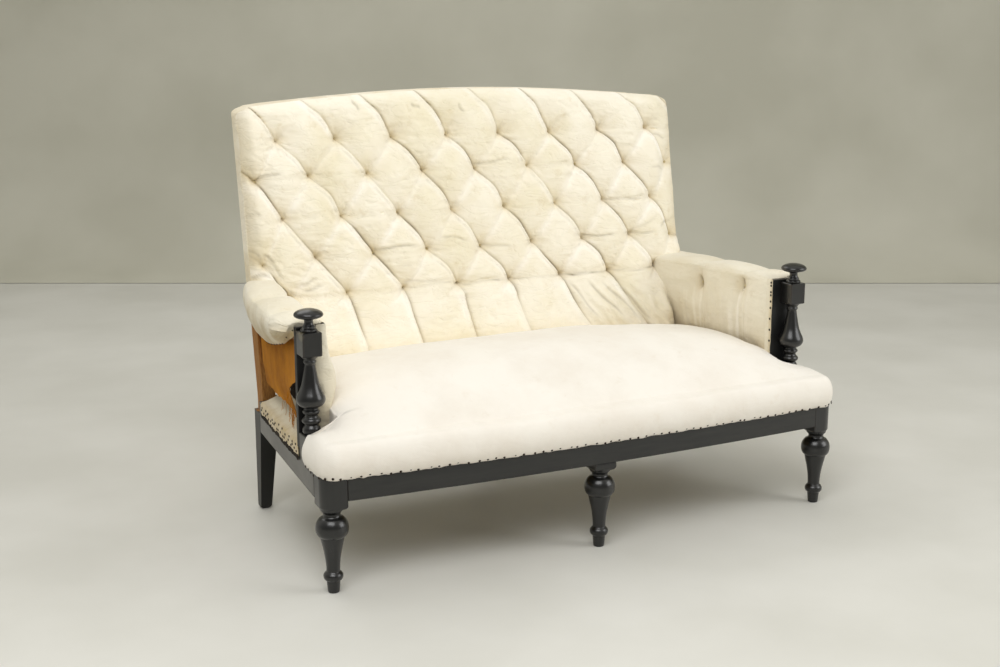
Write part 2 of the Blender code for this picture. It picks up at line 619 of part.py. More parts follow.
def build_arm_frames(paint, wood, root):
    half = ARM_BLOCK / 2
    tall = ARM_BLOCK_BOTTOM - ARM_BASE_TOP
    foot, base = RAIL_TOP + GAP, ARM_BLOCK_TOP + GAP
    front, back = BOARD_BACK + GAP, arm_rail_end()
    tip = BOARD_FRONT - TENON_LENGTH
    rake = lean(ARM_RAIL_TOP) - lean(ARM_RAIL_BOTTOM)
    for side, label in ((-1, "left"), (1, "right")):
        centre = (side * arm_post_x(), ARM_POST_Y)
        rings = dowel(centre, foot - DOWEL_LENGTH, foot, DOWEL_RADIUS)
        rings += [turned_ring(z, half, centre, True) for z in (foot, ARM_BASE_TOP)]
        rings += [turned_ring(ARM_BASE_TOP + share * tall, radius * VASE_RADIUS, centre)
                  for share, radius in VASE_SHARES]
        rings += [turned_ring(z, half, centre, True) for z in (ARM_BLOCK_BOTTOM, ARM_BLOCK_TOP)]
        post = add_piece(f"arm_post_{label}", loft(rings), paint, (*centre, foot), root)
        shade_round(post)

        rings = dowel(centre, base - PEG_LENGTH, base, PEG_RADIUS)
        rings += [turned_ring(base + share * FINIAL_HEIGHT, radius * FINIAL_RADIUS, centre)
                  for share, radius in FINIAL_SHARES]
        shade_round(add_piece(f"arm_finial_{label}", loft(rings), paint, (*centre, base), root))

        x_faces = sided(side, board_inner_x(), board_inner_x() + BOARD_WIDTH)
        form = box(x_faces, (BOARD_FRONT, BOARD_BACK), (foot, ARM_BLOCK_TOP))
        board = add_piece(f"arm_board_{label}", form, paint, (centre[0], BOARD_FRONT, foot), root)

        # The arm rail's front tenon passes through the board into the post's upper block.
        through = loft([arm_tenon_ring(side, y, GAP) for y in (tip - GAP, BOARD_BACK + OVERRUN)])
        add_boolean(board, through, "DIFFERENCE", root)
        z_faces = (ARM_BLOCK_TOP - PEG_LENGTH, ARM_BLOCK_TOP + OVERRUN)
        peg_hole = loft(dowel(centre, *z_faces, PEG_RADIUS, GAP))
        blind = loft([arm_tenon_ring(side, y, GAP) for y in (tip - GAP, BOARD_FRONT + OVERRUN)])
        add_boolean(post, join_forms([peg_hole, blind]), "DIFFERENCE", root)
        flat = (BOARD_FRONT - GAP, BOARD_FRONT + VASE_RADIUS)
        x_faces = centred((centre[0], centre[0]), ARM_POST_CUT)
        # Its rear is flat where the board stands against it.
        add_boolean(post, box(x_faces, flat, (foot + GAP, ARM_BLOCK_TOP - GAP)), "DIFFERENCE", root)

        rings = [arm_tenon_ring(side, tip), arm_tenon_ring(side, front), arm_rail_ring(side, front),
                 arm_rail_ring(side, back, rake), arm_tenon_ring(side, back, 0, True),
                 arm_tenon_ring(side, back + TENON_LENGTH)]
        anchor = (side * arm_outer_x(front), front, ARM_RAIL_BOTTOM)
        add_piece(f"arm_rail_{label}", loft(rings), wood, anchor, root)


# Seat support

def seat_bump(share):
    """1 over the middle of the seat, falling to 0 where share is -1 or 1."""
    return max(0.0, 1 - share ** 4)


def spring_lift(x, y):
    """How far the springs lift the seat's hessian above the rails."""
    across = x / SEAT_HALF_WIDTH
    along = 2 * (y - RAIL_INNER_Y) / (SEAT_REAR_Y - RAIL_INNER_Y) - 1
    return SPRUNG_RISE * seat_bump(across) * seat_bump(along)


def cross_web_x(i):
    return CROSS_WEB_PITCH * (i - (CROSS_WEBS - 1) / 2)


def long_web_y(j):
    return RAIL_INNER_Y + (BACK_RAIL_FRONT - RAIL_INNER_Y) * (j + 1) / (LONG_WEBS + 1)


def build_webbing(webbing, root):
    """Cross webs lie flat under the rails. Long webs weave over and under them."""
    top = RAIL_BOTTOM - GAP
    half = WEB_WIDTH / 2
    for i in range(CROSS_WEBS):
        x = cross_web_x(i)
        y_faces = (front_face_y(x) + WEB_INSET, BACK_RAIL_REAR - WEB_INSET)
        form = box((x - half, x + half), y_faces, (top - WEB_THICK, top))
        add_piece(f"cross_web_{i + 1}", form, webbing, (x, y_faces[0], top), root)
    for j in range(LONG_WEBS):
        y = long_web_y(j)
        end = side_outer_x(y + half) - WEB_INSET
        path = [(-end, 0)]
        for i in range(CROSS_WEBS):
            step = (WEB_THICK + GAP) * (1 if (i + j) % 2 else -1)
            x = cross_web_x(i)
            path += [(x - WEB_WIDTH, 0), (x - half - WEB_THICK, step),
                     (x + half + WEB_THICK, step), (x + WEB_WIDTH, 0)]
        path.append((end, 0))
        rings = [ring_x(x, (y - half, y + half), (top - WEB_THICK + step, top + step), False)
                 for x, step in path]
        add_piece(f"long_web_{j + 1}", loft(rings), webbing, (0, y, top), root)


def build_springs(steel, root):
    """Waisted coil springs, one on each crossing. Each ends over the flat of its cross web."""
    foot = RAIL_BOTTOM + SPRING_WIRE
    reach = SPRING_END_RADIUS + SPRING_WIRE
    points = SPRING_TURNS * SPRING_TURN_POINTS
    gaps = []
    for j in range(LONG_WEBS):
        for i in range(CROSS_WEBS):
            x, y = cross_web_x(i), long_web_y(j)
            lowest = min(spring_lift(x + a * reach, y + b * reach) for a in (-1, 1) for b in (-1, 1))
            tall = RAIL_TOP + lowest - UNDER_SLACK - SPRING_WIRE - foot
            curve = bpy.data.curves.new(f"seat_spring_{j + 1}_{i + 1}", "CURVE")
            curve.dimensions = "3D"
            curve.bevel_depth = SPRING_WIRE
            curve.bevel_resolution = 0
            curve.use_fill_caps = True
            spline = curve.splines.new("POLY")
            spline.points.add(points)
            for k, point in enumerate(spline.points):
                share = k / points
                waist = math.sin(math.pi * share)
                radius = SPRING_END_RADIUS + waist * (SPRING_WAIST_RADIUS - SPRING_END_RADIUS)
                angle = 2 * math.pi * SPRING_TURNS * share + math.pi / 2
                point.co = (radius * math.cos(angle), radius * math.sin(angle), tall * share, 1.0)
            places = [point.co.xyz for point in spline.points]
            gaps += [(b - a).length - 2 * SPRING_WIRE for a, b in zip(places, places[SPRING_TURN_POINTS:])]
            curve.materials.append(steel)
            spring = bpy.data.objects.new(curve.name, curve)
            spring.location = (x, y, foot)
            spring.parent = root
            bpy.context.scene.collection.objects.link(spring)
    print(f"Least gap between the turns of a spring: {min(gaps):.4f} m")


def seat_station_places():
    """X places of the sections that the seat and its hessian share, over the right half."""
    return [share * LEG_X for share in SEAT_STATION_SHARES]


def seat_under_places(x):
    """Y places along the seat's underside, from the front rail to the seat's rear edge."""
    face = seat_front_y(x, 0)
    return [face + share * (SEAT_REAR_Y - face) for share in SEAT_UNDER_SHARES]


def build_seat_hessian(hessian, root):
    """Hessian over the springs, with its edges on top of the rails. Its outline passes inside
    the arm boards and ends in front of the rear posts, and on the back rail between them."""
    between, rear = POST_INNER - GAP, BACK_RAIL_FRONT + BACK_RAIL_THICK / 2
    beside = POST_FRONT - 2 * GAP
    places = seat_station_places()
    right = [(x, rear) for x in places if x < between - GAP] + [(between - GAP, rear), (between, beside)]
    right += [(x, beside) for x in places if x > between]
    rings = [[(x, y) for y in seat_under_places(x) + [end]] for x, end in mirrored(right)]
    edge = seat_under_places(places[-1]) + [beside]
    half = len(edge) // 2
    outer = [(board_inner_x() - GAP, y) for y in edge[:half]]
    outer += [(side_outer_x(y) - SIDE_RAIL_THICK / 2, y) for y in edge[half:]]
    rings = [[(-x, y) for x, y in outer]] + rings + [outer]
    columns, rows = len(rings) - 1, len(edge) - 1

    def point(u, v, offset):
        """Runs from the rear to the front, as the seat's underside does."""
        x, y = rings[round(u * columns)][round((1 - v) * rows)]
        return x, y, RAIL_TOP + GAP + spring_lift(x, y) + offset

    form = sheet(point, columns, rows, HESSIAN_THICK)
    shade_round(add_piece("seat_hessian", form, hessian, (0, RAIL_INNER_Y, RAIL_TOP), root), 60)


# Seat upholstery

def seat_front_y(x, over):
    """Front of the rail and the leg blocks' round corners, at a distance over them."""
    radius = HALF_BLOCK + GAP + over
    beyond = min(radius, abs(x) - LEG_X)
    if beyond <= 0:
        return front_face_y(x) - GAP - over
    return FRONT_Y - math.sqrt(radius * radius - beyond * beyond)


def seat_top(x, y):
    """Height of the seat's top: a crown that falls to the front edge, the arms and the back."""
    middle = FRONT_Y + SEAT_DEPTH / 2
    along = (y - middle) / (SEAT_DEPTH / 2)
    across = abs(x) / SEAT_EDGE_X
    front_edge = SEAT_EDGE + SEAT_EDGE_ROLL
    edge = SEAT_REAR if along > 0 else front_edge
    height = SEAT_CROWN - (SEAT_CROWN - edge) * min(1.0, abs(along)) ** 2.4
    side = SEAT_SIDE if along > 0 else SEAT_SIDE - (SEAT_SIDE - front_edge) * min(1.0, -along)
    return height - (height - side) * min(1.0, across) ** 5


def seat_section(x, skirted):
    """Closed outline of the seat across X: skirt, front roll, top, rear and underside."""
    face, front = seat_front_y(x, 0), seat_front_y(x, COVER_THICK)
    beyond = max(0.0, abs(x) - SEAT_FACE_X - COVER_THICK) / SEAT_BULGE
    squeeze = math.sqrt(1 - beyond * beyond)
    low = SEAT_EDGE - (SEAT_EDGE - COVER_BOTTOM) * squeeze
    base = low if skirted else SEAT_BASE

    def top(y):
        return SEAT_EDGE + (seat_top(x, y) - SEAT_EDGE) * squeeze

    deep = SEAT_REAR_Y - front
    points = [(face, base), (face, low), (front, low), (front - SEAT_BULGE * squeeze, SEAT_EDGE)]
    points += [(front + share * deep, top(front + share * deep)) for share in SEAT_TOP_SHARES]
    for y in seat_under_places(x)[::-1]:
        points.append((y, base + (0.0 if skirted else spring_lift(x, y))))
    return [(x, y, z) for y, z in points]


def build_seat_pad(calico, root):
    right = [(x, False) for x in seat_station_places()]
    right += [(LEG_X + (HALF_BLOCK + GAP) * math.sin(math.radians(angle)), False)
              for angle in SEAT_CORNER_ANGLES]
    right += [(SEAT_FACE_X - GAP / 2, False), (SEAT_FACE_X, True), (SEAT_FACE_X + COVER_THICK, True),
              (SEAT_FACE_X + COVER_THICK + SEAT_SIDE_SHARE * SEAT_BULGE, True)]
    rings = [seat_section(x, skirted) for x, skirted in mirrored(right)]
    pad = add_piece("seat_pad", loft(rings), calico, (0, SEAT_REAR_Y, SEAT_BASE), root)
    shade_round(pad, 60)

    # It is cut away round the arm posts, the boards and the inner arms.
    notch = ARM_POST_Y - ARM_BLOCK / 2 - GAP
    cutters = []
    for side in (-1, 1):
        wide, beyond = board_inner_x() - SLACK, SEAT_EDGE_X + OVERRUN
        behind, rear = BOARD_BACK - SLACK, SEAT_REAR_Y + OVERRUN
        outline = ((wide, notch), (beyond, notch), (beyond, rear), (SEAT_HALF_WIDTH, rear),
                   (SEAT_HALF_WIDTH, behind + 3 * BOARD_THICK),
                   ((wide + SEAT_HALF_WIDTH) / 2, behind + BOARD_THICK), (wide, behind))
        cutters.append(loft([[(side * x, y, z) for x, y in outline] for z in (RAIL_BOTTOM, SEAT_CROWN)]))
    add_boolean(pad, join_forms(cutters), "DIFFERENCE", root)


# Arm upholstery

def arm_start():
    return BOARD_BACK + GAP


def arm_fullness(share):
    """Fullness of the arm's padding along its length: drawn in at both ends."""
    return ARM_END_SHARE + (1 - ARM_END_SHARE) * math.sin(math.pi * share) ** 0.5


def arm_pinch(share):
    """1 at the two buttoned pleats of the inner arm, 0 away from them."""
    reach = (ARM_TUFT_SHARES[1] - ARM_TUFT_SHARES[0]) / 2
    near = min(abs(share - tuft) for tuft in ARM_TUFT_SHARES)
    return max(0.0, 1 - near / reach) ** 2


def inner_arm_plane(share):
    """Plane of the inner arm, from the board's inner edge to the stile's."""
    front, rear = board_inner_x(), POST_INNER - ARM_BACKING - SLACK
    return front + share * (rear - front)


def inner_arm_x(share, z):
    """Padded face of the inner arm, with its belly and its two drawn-in pleats."""
    down = (ARM_RAIL_TOP - z) / (ARM_RAIL_TOP - ARM_PANEL_BOTTOM)
    belly = math.sin(math.pi * (0.25 + 0.70 * min(1.0, max(0.0, down))))
    ends = math.sin(math.pi * min(1.0, max(0.0, share))) ** 0.5
    around = max(0.0, 1 - abs(z - ARM_TUFT_HEIGHT) / (ARM_TUFT_HEIGHT - ARM_PANEL_BOTTOM))
    return inner_arm_plane(share) - ARM_BULGE * belly * ends + ARM_TUFT_DEPTH * arm_pinch(share) * around


def arm_section(side, share):
    """Closed outline of the arm's padding: outer roll, top and inner face, then back inside
    along the panel's rear, round the arm rail and down to the outer edge."""
    start = arm_start()
    level = POST_FRONT + lean(ARM_RAIL_BOTTOM) - GAP
    y0 = start + share * (level - start)
    outer = arm_outer_x(y0)
    inner = outer - ARM_RAIL_WIDTH
    swell = ARM_SWELL * arm_fullness(share)
    rise = ARM_RISE * arm_fullness(share)
    low, top = ARM_RAIL_BOTTOM, ARM_RAIL_TOP
    tall, span = top - low, top - ARM_PANEL_BOTTOM
    back = inner_arm_plane(share) + ARM_BACKING
    roll = inner_arm_x(share, top)
    skin = [(outer + GAP, low)]
    skin += [(outer + out * swell, low + up * tall) for out, up in ARM_OUTER_SHARES]
    skin += [(outer + out * swell, top + up * rise) for out, up in ARM_ROLL_SHARES]
    skin += [((outer + inner) / 2, top + rise), ((inner + roll) / 2, top + ARM_INNER_SHARES[0] * rise),
             (roll, top + ARM_INNER_SHARES[1] * rise)]
    for drop in ARM_DROP_SHARES:
        z = top - drop * span
        skin.append((inner_arm_x(share, z), z))
    inside = inner - GAP
    lining = [(back, ARM_PANEL_BOTTOM), (back, low - tall / 4), (inside, low), (inside, top + GAP),
              (outer + GAP, top + GAP)]
    points = []
    for x, z in skin + lining:
        rear = POST_FRONT + lean(z) - GAP
        points.append((side * x, start + share * (rear - start), z))
    return points


def build_arm_pads(calico, thread, root):
    steps = ARM_STATIONS - 1
    for side, label in ((-1, "left"), (1, "right")):
        rings = [arm_section(side, i / steps) for i in range(ARM_STATIONS)]
        anchor = (side * arm_outer_x(arm_start()), arm_start(), ARM_RAIL_BOTTOM)
        pad = add_piece(f"arm_pad_{label}", loft(rings), calico, anchor, root)
        shade_round(pad, 60)
        build_arm_buttons(pad, side, label, thread, root)


def build_slings(hessian, root):
    """Hessian behind each inner arm, hanging from the arm rail and bellying outwards."""
    start, end = arm_start(), POST_FRONT - GAP
    top = ARM_RAIL_BOTTOM - GAP
    for side, label in ((-1, "left"), (1, "right")):

        def point(u, v, offset, side=side):
            y = start + u * (end - start)
            z = top - v * (top - SLING_BOTTOM)
            share = u * (end - start) / (arm_rail_end() - start)
            plane = inner_arm_plane(share) + ARM_BACKING
            tied = max(0.0, arm_outer_x(y) - ARM_RAIL_WIDTH - plane) * (1 - v) ** 2
            belly = SLING_BULGE * math.sin(math.pi * v) * math.sin(math.pi * u)
            return side * (plane + SLACK + tied + belly + offset), y, z

        form = sheet(point, SLING_COLUMNS, SLING_ROWS, SLING_THICK)
        anchor = point(0, 0, 0)
        shade_round(add_piece(f"arm_hessian_{label}", form, hessian, anchor, root), 60)


def build_flaps(calico, root):
    """The tail of each inner arm's cover, drawn out over the side rail and down its face."""
    start, end = arm_start(), POST_FRONT - GAP
    rest = RAIL_TOP + GAP + HESSIAN_THICK + GAP
    top = ARM_PANEL_BOTTOM - SLACK - FLAP_THICK
    for side, label in ((-1, "left"), (1, "right")):

        def outline(y, over):
            """Section of the flap at y. over lifts it by its thickness."""
            share = (y - start) / (end - start)
            plane = inner_arm_plane(share)
            face = side_outer_x(y) + GAP + over
            return [(plane, top + over), (plane + ARM_BACKING, top + over),
                    (face - SIDE_RAIL_THICK / 2, rest + over), (face, rest + over), (face, rest - FLAP_TAIL)]

        rings = []
        for y in (start, (start + end) / 2, end):
            near, far = outline(y, 0.0), outline(y, FLAP_THICK)
            rings.append([(side * x, y, z) for x, z in near + far[::-1]])
        anchor = (side * side_outer_x(start), start, RAIL_TOP)
        add_piece(f"arm_flap_{label}", loft(rings), calico, anchor, root)


# Buttons

def button_rings(tip, out, across, stem):
    """A domed button on a stem of twine. tip is the middle of its back, out points away."""
    side = out.cross(across)
    stations = ((-stem, TWINE_WIDTH / 2), (0.0, TWINE_WIDTH / 2), (0.0, BUTTON_RADIUS),
                (BUTTON_THICK / 2, BUTTON_RADIUS), (BUTTON_THICK, BUTTON_RADIUS * BUTTON_DOME_SHARE))
    rings = []
    for height, radius in stations:
        angles = [2 * math.pi * i / BUTTON_SIDES for i in range(BUTTON_SIDES)]
        rings.append([tip + out * height + (across * math.cos(a) + side * math.sin(a)) * radius
                      for a in angles])
    return rings


def twine_hole(centre, out, across, length):
    """A three-sided hole for the twine, centred on a point."""
    side = out.cross(across)
    half = TWINE_HOLE / 2
    angles = [2 * math.pi * i / 3 for i in range(3)]
    return loft([[centre + out * t + (across * math.cos(a) + side * math.sin(a)) * half for a in angles]
                 for t in (-length / 2, length / 2)])


def twine_run(name, places, along, thread, root):
    """A straight run of twine behind the stuffing, from the first place to the last."""
    half = TWINE_WIDTH / 2
    first, last = Vector(places[0]) - along * half, Vector(places[-1]) + along * half
    up = Vector((0, 0, 1))
    side = along.cross(up).normalized()
    up = side.cross(along)
    rings = [[end + side * a * half + up * b * half for a, b in ((-1, -1), (1, -1), (1, 1), (-1, 1))]
             for end in (first, last)]
    return add_piece(name, loft(rings), thread, tuple(first), root)


def build_arm_buttons(pad, side, label, thread, root):
    """Two buttons on the inner arm, joined by the twine that ties them behind the panel."""
    start = arm_start()
    out = Vector((-side, 0, 0))
    up = Vector((0, 0, 1))
    rear = POST_FRONT + lean(ARM_TUFT_HEIGHT) - GAP
    holes, buttons, ties = [], [], []
    for tuft in ARM_TUFT_SHARES:
        y, z = start + tuft * (rear - start), ARM_TUFT_HEIGHT
        place = Vector((side * inner_arm_x(tuft, z), y, z))
        tie = Vector((side * (inner_arm_plane(tuft) + ARM_BACKING + TWINE_WIDTH), y, z))
        tip = place + out * (BUTTON_RADIUS / 2)
        holes.append(twine_hole(place, out, up, TWINE_REACH))
        buttons.append(loft(button_rings(tip, out, up, (tip - tie).length)))
        ties.append(tie)
    along = (ties[1] - ties[0]).normalized()
    add_boolean(pad, join_forms(holes), "DIFFERENCE", root)
    run = twine_run(f"arm_buttons_{label}", ties, along, thread, root)
    add_boolean(run, join_forms(buttons), "UNION", root)


def row_places(row):
    """X places of one row of back buttons. Rows are staggered by half a pitch."""
    count = SHORT_ROW_BUTTONS if row % 2 else LONG_ROW_BUTTONS
    return [TUFT_PITCH * (i - (count - 1) / 2) for i in range(count)]


def build_back_buttons(pad, calico, root):
    """One node for each row: its buttons on their stems, joined by the twine behind the pad."""
    along = Vector((1, 0, 0))
    out = Vector((0, -1, RAKE_SHARE)).normalized()
    holes = []
    for row in range(TUFT_ROWS):
        z = TUFT_BOTTOM + row * ROW_PITCH
        tie_y = PAD_BACK + GAP + TWINE_WIDTH / 2 + lean(z)
        seat_y = PAD_BACK + lean(z) - TUFT_LIFT
        buttons, ties = [], []
        for x in row_places(row):
            seat = Vector((x, seat_y, z)) + out * GAP
            tie = Vector((x, tie_y, z))
            holes.append(twine_hole(seat, out, along, TWINE_REACH))
            tip = seat + out * (BUTTON_RADIUS * BUTTON_SEAT_SHARE)
            stem = (tip - tie).length
            buttons.append(loft(button_rings(tip, out, along, stem)))
            ties.append(tie)
        run = twine_run(f"button_row_{row + 1}", ties, along, calico, root)
        add_boolean(run, join_forms(buttons), "UNION", root)
    add_boolean(pad, join_forms(holes), "DIFFERENCE", root)


# Back upholstery

def back_top(x):
    """Height of the back's top edge, arched and with round corners."""
    over = min(BACK_CORNER, max(0.0, abs(x) - BACK_X + BACK_CORNER))
    drop = BACK_CORNER - math.sqrt(BACK_CORNER ** 2 - over ** 2)
    return CREST_TOP + CREST_PAD + crest_rise(x) - drop


def stuffing(x, z):
    """How far the buttoned stuffing stands out, from 0 at a button to 1 between buttons.
    p and q rise and fall across the pleats of the two diagonals."""
    across = 2 * x / TUFT_PITCH + 1
    up = (z - TUFT_BOTTOM) / ROW_PITCH
    beyond = max(-up, up - TUFT_ROWS + 1)
    if beyond > 0:
        flute = abs(math.sin(math.pi * across / 2)) ** 0.7
        fade = min(1.0, PLEAT_SHARE * beyond)
        return flute + (1 - flute) * fade
    p = abs(math.sin(math.pi * (across + up) / 2))
    q = abs(math.sin(math.pi * (across - up) / 2))
    return PLEAT_SHARE * max(p, q) ** 0.8 + (1 - PLEAT_SHARE) * min(p, q) ** 0.7


def back_front_y(x, z):
    """Front face of the back's stuffing."""
    out = max(0.0, abs(x) - SEAT_HALF_WIDTH)
    behind = min(1.0, out / (POST_INNER - SEAT_HALF_WIDTH))
    plane = PAD_BACK - TUFT_LIFT + behind * (POST_FRONT - GAP - PAD_BACK)
    if abs(x) > SEAT_HALF_WIDTH and z < BACK_NOTCH:
        return POST_FRONT + lean(z)
    edge = min(BACK_X - abs(x), back_top(x) - z)
    roll = max(0.0, 1 - edge / EDGE_ROLL)
    lower = max(0.0, TUFT_BOTTOM - z) / (TUFT_BOTTOM - BACK_TUCK)
    full = PILLOW * stuffing(x, z) * (1 - roll) + LUMBAR * lower
    if z <= BACK_TUCK:
        return max(SEAT_REAR_Y + SLACK, plane + lean(z) - full)
    return plane + lean(z) - full + roll * TUFT_LIFT


def build_back_pad(calico, root):
    right = [i * TUFT_PITCH / 4 for i in range(2 * LONG_ROW_BUTTONS + 1)]
    right += [BACK_X - BACK_CORNER / 4, BACK_X]
    columns = sorted({round(side * x, 6) for side in (-1, 1) for x in right})
    top_row = TUFT_BOTTOM + (TUFT_ROWS - 1) * ROW_PITCH
    low_rows = [BACK_BOTTOM, BACK_TUCK]
    low_rows += [BACK_TUCK + share * (TUFT_BOTTOM - BACK_TUCK) for share in BACK_BELOW_SHARES]
    steps = (TUFT_ROWS - 1) * BACK_CELLS
    mid_rows = [TUFT_BOTTOM + i * ROW_PITCH / BACK_CELLS for i in range(steps + 1)]

    def heights(x):
        rise = back_top(x) - top_row
        return low_rows + mid_rows + [top_row + share * rise for share in BACK_ABOVE_SHARES]

    form = bmesh.new()
    front = [[form.verts.new((x, back_front_y(x, z), z)) for z in heights(x)] for x in columns]
    rear = POST_BACK + REAR_WRAP
    outline = [(i, 0) for i in range(len(columns))]
    outline += [(len(columns) - 1, j) for j in range(1, len(front[0]))]
    outline += [(i, len(front[0]) - 1) for i in range(len(columns) - 2, -1, -1)]
    outline += [(0, j) for j in range(len(front[0]) - 2, 0, -1)]
    for a, b in zip(front, front[1:]):
        for j in range(len(a) - 1):
            form.faces.new((a[j], b[j], b[j + 1], a[j + 1]))
    back = []
    for i, j in outline:
        x, _, z = front[i][j].co
        back.append(form.verts.new((x, rear + lean(z), z)))
    for k, (i, j) in enumerate(outline):
        following = (k + 1) % len(outline)
        i2, j2 = outline[following]
        form.faces.new((front[i][j], back[k], back[following], front[i2][j2]))
    form.faces.new(back)
    pad = add_piece("back_pad", form, calico, (0, PAD_BACK, BACK_BOTTOM), root)
    shade_round(pad, 60)

    # It fits in front of the hessian, round the stiles and over the crest rail.
    hang = POST_BACK + REAR_WRAP + OVERRUN
    reach = POST_INNER - GAP
    middle_z = (BACK_BOTTOM - OVERRUN, CREST_TOP - TAIL_DROP)
    middle = loft([ring_x(x, (PAD_BACK, hang), middle_z) for x in (-reach, reach)])
    add_boolean(pad, middle, "DIFFERENCE", root)
    crest = loft(crest_rings(reach + GAP + OVERRUN, (PAD_BACK, BAR_BACK + GAP), CREST_BOTTOM, GAP))
    add_boolean(pad, crest, "DIFFERENCE", root)
    stiles, notches = [], []
    for side in (-1, 1):
        stile_x = sided(side, POST_INNER - GAP, STILE_X + GAP)
        stile_z = (BACK_BOTTOM - OVERRUN, CREST_TOP + GAP)
        stiles.append(loft([ring_x(x, (POST_FRONT - GAP, POST_BACK + GAP), stile_z) for x in stile_x]))
        notch_x = sided(side, POST_INNER - GAP, BACK_X + OVERRUN)
        y_faces = (FRONT_Y, hang + lean(BACK_NOTCH))
        notches.append(box(notch_x, y_faces, (BACK_BOTTOM - OVERRUN, BACK_NOTCH)))
    add_boolean(pad, join_forms(stiles), "DIFFERENCE", root)
    add_boolean(pad, join_forms(notches), "DIFFERENCE", root)
    build_back_buttons(pad, calico, root)


def build_back_linings(hessian, root):
    """Hessian on the front of the back frame, under the stuffing, and on its rear."""
    reach = POST_INNER - GAP
    top = CREST_TOP - TAIL_DROP - GAP
    for name, y in (("back_hessian", HESSIAN_FRONT), ("outside_back_hessian", BAR_BACK + GAP)):
        rings = [ring_x(x, (y, y + HESSIAN_THICK), (LOWER_RAIL_BOTTOM, top)) for x in (-reach, reach)]
        add_piece(name, loft(rings), hessian, (0, y, LOWER_RAIL_BOTTOM), root)


# The sofa

def build():
    for item in list(bpy.data.objects):
        bpy.data.objects.remove(item)
    root = bpy.data.objects.new("sofa", None)
    bpy.context.scene.collection.objects.link(root)

    paint = make_material("ebonised_wood", "2a2a28", 0.35)
    wood = make_material("bare_wood", "7d5a3c", 0.65)
    calico = make_material("calico", "eae0c8", 0.9)
    seat_calico = make_material("seat_calico", "ece3d6", 0.9)
    hessian = make_material("hessian", "a0702f", 0.95)
    webbing = make_material("webbing", "c7b38c", 0.9)
    steel = make_material("spring_steel", "6f6a63", 0.45, 1.0)

    build_front_rail(paint, root)
    build_side_and_back_rails(wood, paint, root)
    build_front_legs(paint, root)
    build_rear_leg_centre(paint, root)
    build_rear_posts(paint, root)
    build_back_frame(wood, root)
    build_arm_frames(paint, wood, root)
    build_webbing(webbing, root)
    build_springs(steel, root)
    build_seat_hessian(hessian, root)
    build_seat_pad(seat_calico, root)
    build_back_linings(hessian, root)
    build_back_pad(calico, root)
    build_arm_pads(calico, calico, root)
    build_slings(hessian, root)
    build_flaps(calico, root)


build()
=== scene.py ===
import math
import bmesh
import bpy
import numpy as np
from mathutils import Euler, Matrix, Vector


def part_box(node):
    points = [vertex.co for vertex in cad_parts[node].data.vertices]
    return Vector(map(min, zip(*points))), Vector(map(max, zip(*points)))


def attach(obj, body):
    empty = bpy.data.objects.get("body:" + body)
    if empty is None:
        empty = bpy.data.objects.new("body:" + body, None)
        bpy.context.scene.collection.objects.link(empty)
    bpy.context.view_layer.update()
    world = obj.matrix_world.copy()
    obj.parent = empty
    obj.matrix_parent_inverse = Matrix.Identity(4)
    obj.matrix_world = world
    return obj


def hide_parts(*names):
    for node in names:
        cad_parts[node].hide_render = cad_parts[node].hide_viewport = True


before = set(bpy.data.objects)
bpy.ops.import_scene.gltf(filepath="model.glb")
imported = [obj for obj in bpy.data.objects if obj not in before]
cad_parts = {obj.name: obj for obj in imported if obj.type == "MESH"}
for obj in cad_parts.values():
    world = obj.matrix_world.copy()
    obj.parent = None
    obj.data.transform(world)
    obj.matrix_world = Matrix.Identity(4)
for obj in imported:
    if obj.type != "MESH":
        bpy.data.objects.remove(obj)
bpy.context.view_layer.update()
print("Frame loaded")

# Places shared by the pieces, in metres
sofa = {
    "frontAxis": -0.3245625,  # y of the front legs
    "postFront": 0.2084375,  # y of the rear legs' front face
    "legX": 0.620,
    "halfBlock": 0.027,
    "railLow": 0.199,
    "railTop": 0.274,
    "bow": 0.020,  # how far the front rail swells forward
    "stileIn": 0.562,
    "stileOut": 0.594,
    "sideX": 0.647,  # outer face of the side rails, at the front and at the rear
    "rearX": 0.603,
    "rake": 0.175,  # lean of the back for each metre of height
    "boardFront": -0.1922625,
    "boardBack": -0.1782625,
    "boardInner": 0.5752,
    "postX": 0.6192,
    "postY": -0.2135625,
    "armRailLow": 0.498,
    "armRailTop": 0.528,
    "webbedX": 0.537,  # half width of the springs' dome
    "webbedY": (-0.3175625, 0.1754375),  # where the dome begins and ends
    "domeRise": 0.046,
}


# Shapes

def lean(z):
    # how far back the rake carries a place at height z
    return sofa["rake"] * (z - sofa["railTop"])


def smooth(x, low, high):
    # 0 below low, 1 above high, eased between them
    t = np.clip((x - low) / (high - low), 0, 1)
    return t * t * (3 - 2 * t)


def bell(x, width, power=2):
    # 1 at zero, falling off as e to the minus (x over width) to a power
    return np.exp(-np.abs(x / width) ** power)


def softNoise(x, y, seed):
    # random numbers on a lattice of unit cells, eased from corner to corner
    table = np.random.default_rng(seed).uniform(-1, 1, (64, 64))
    x, y = np.broadcast_arrays(x, y)
    i, j = np.floor(x).astype(int), np.floor(y).astype(int)
    u, v = smooth(x - i, 0, 1), smooth(y - j, 0, 1)
    low = table[i & 63, j & 63] * (1 - u) + table[(i + 1) & 63, j & 63] * u
    high = table[i & 63, (j + 1) & 63] * (1 - u) + table[(i + 1) & 63, (j + 1) & 63] * u
    return low * (1 - v) + high * v


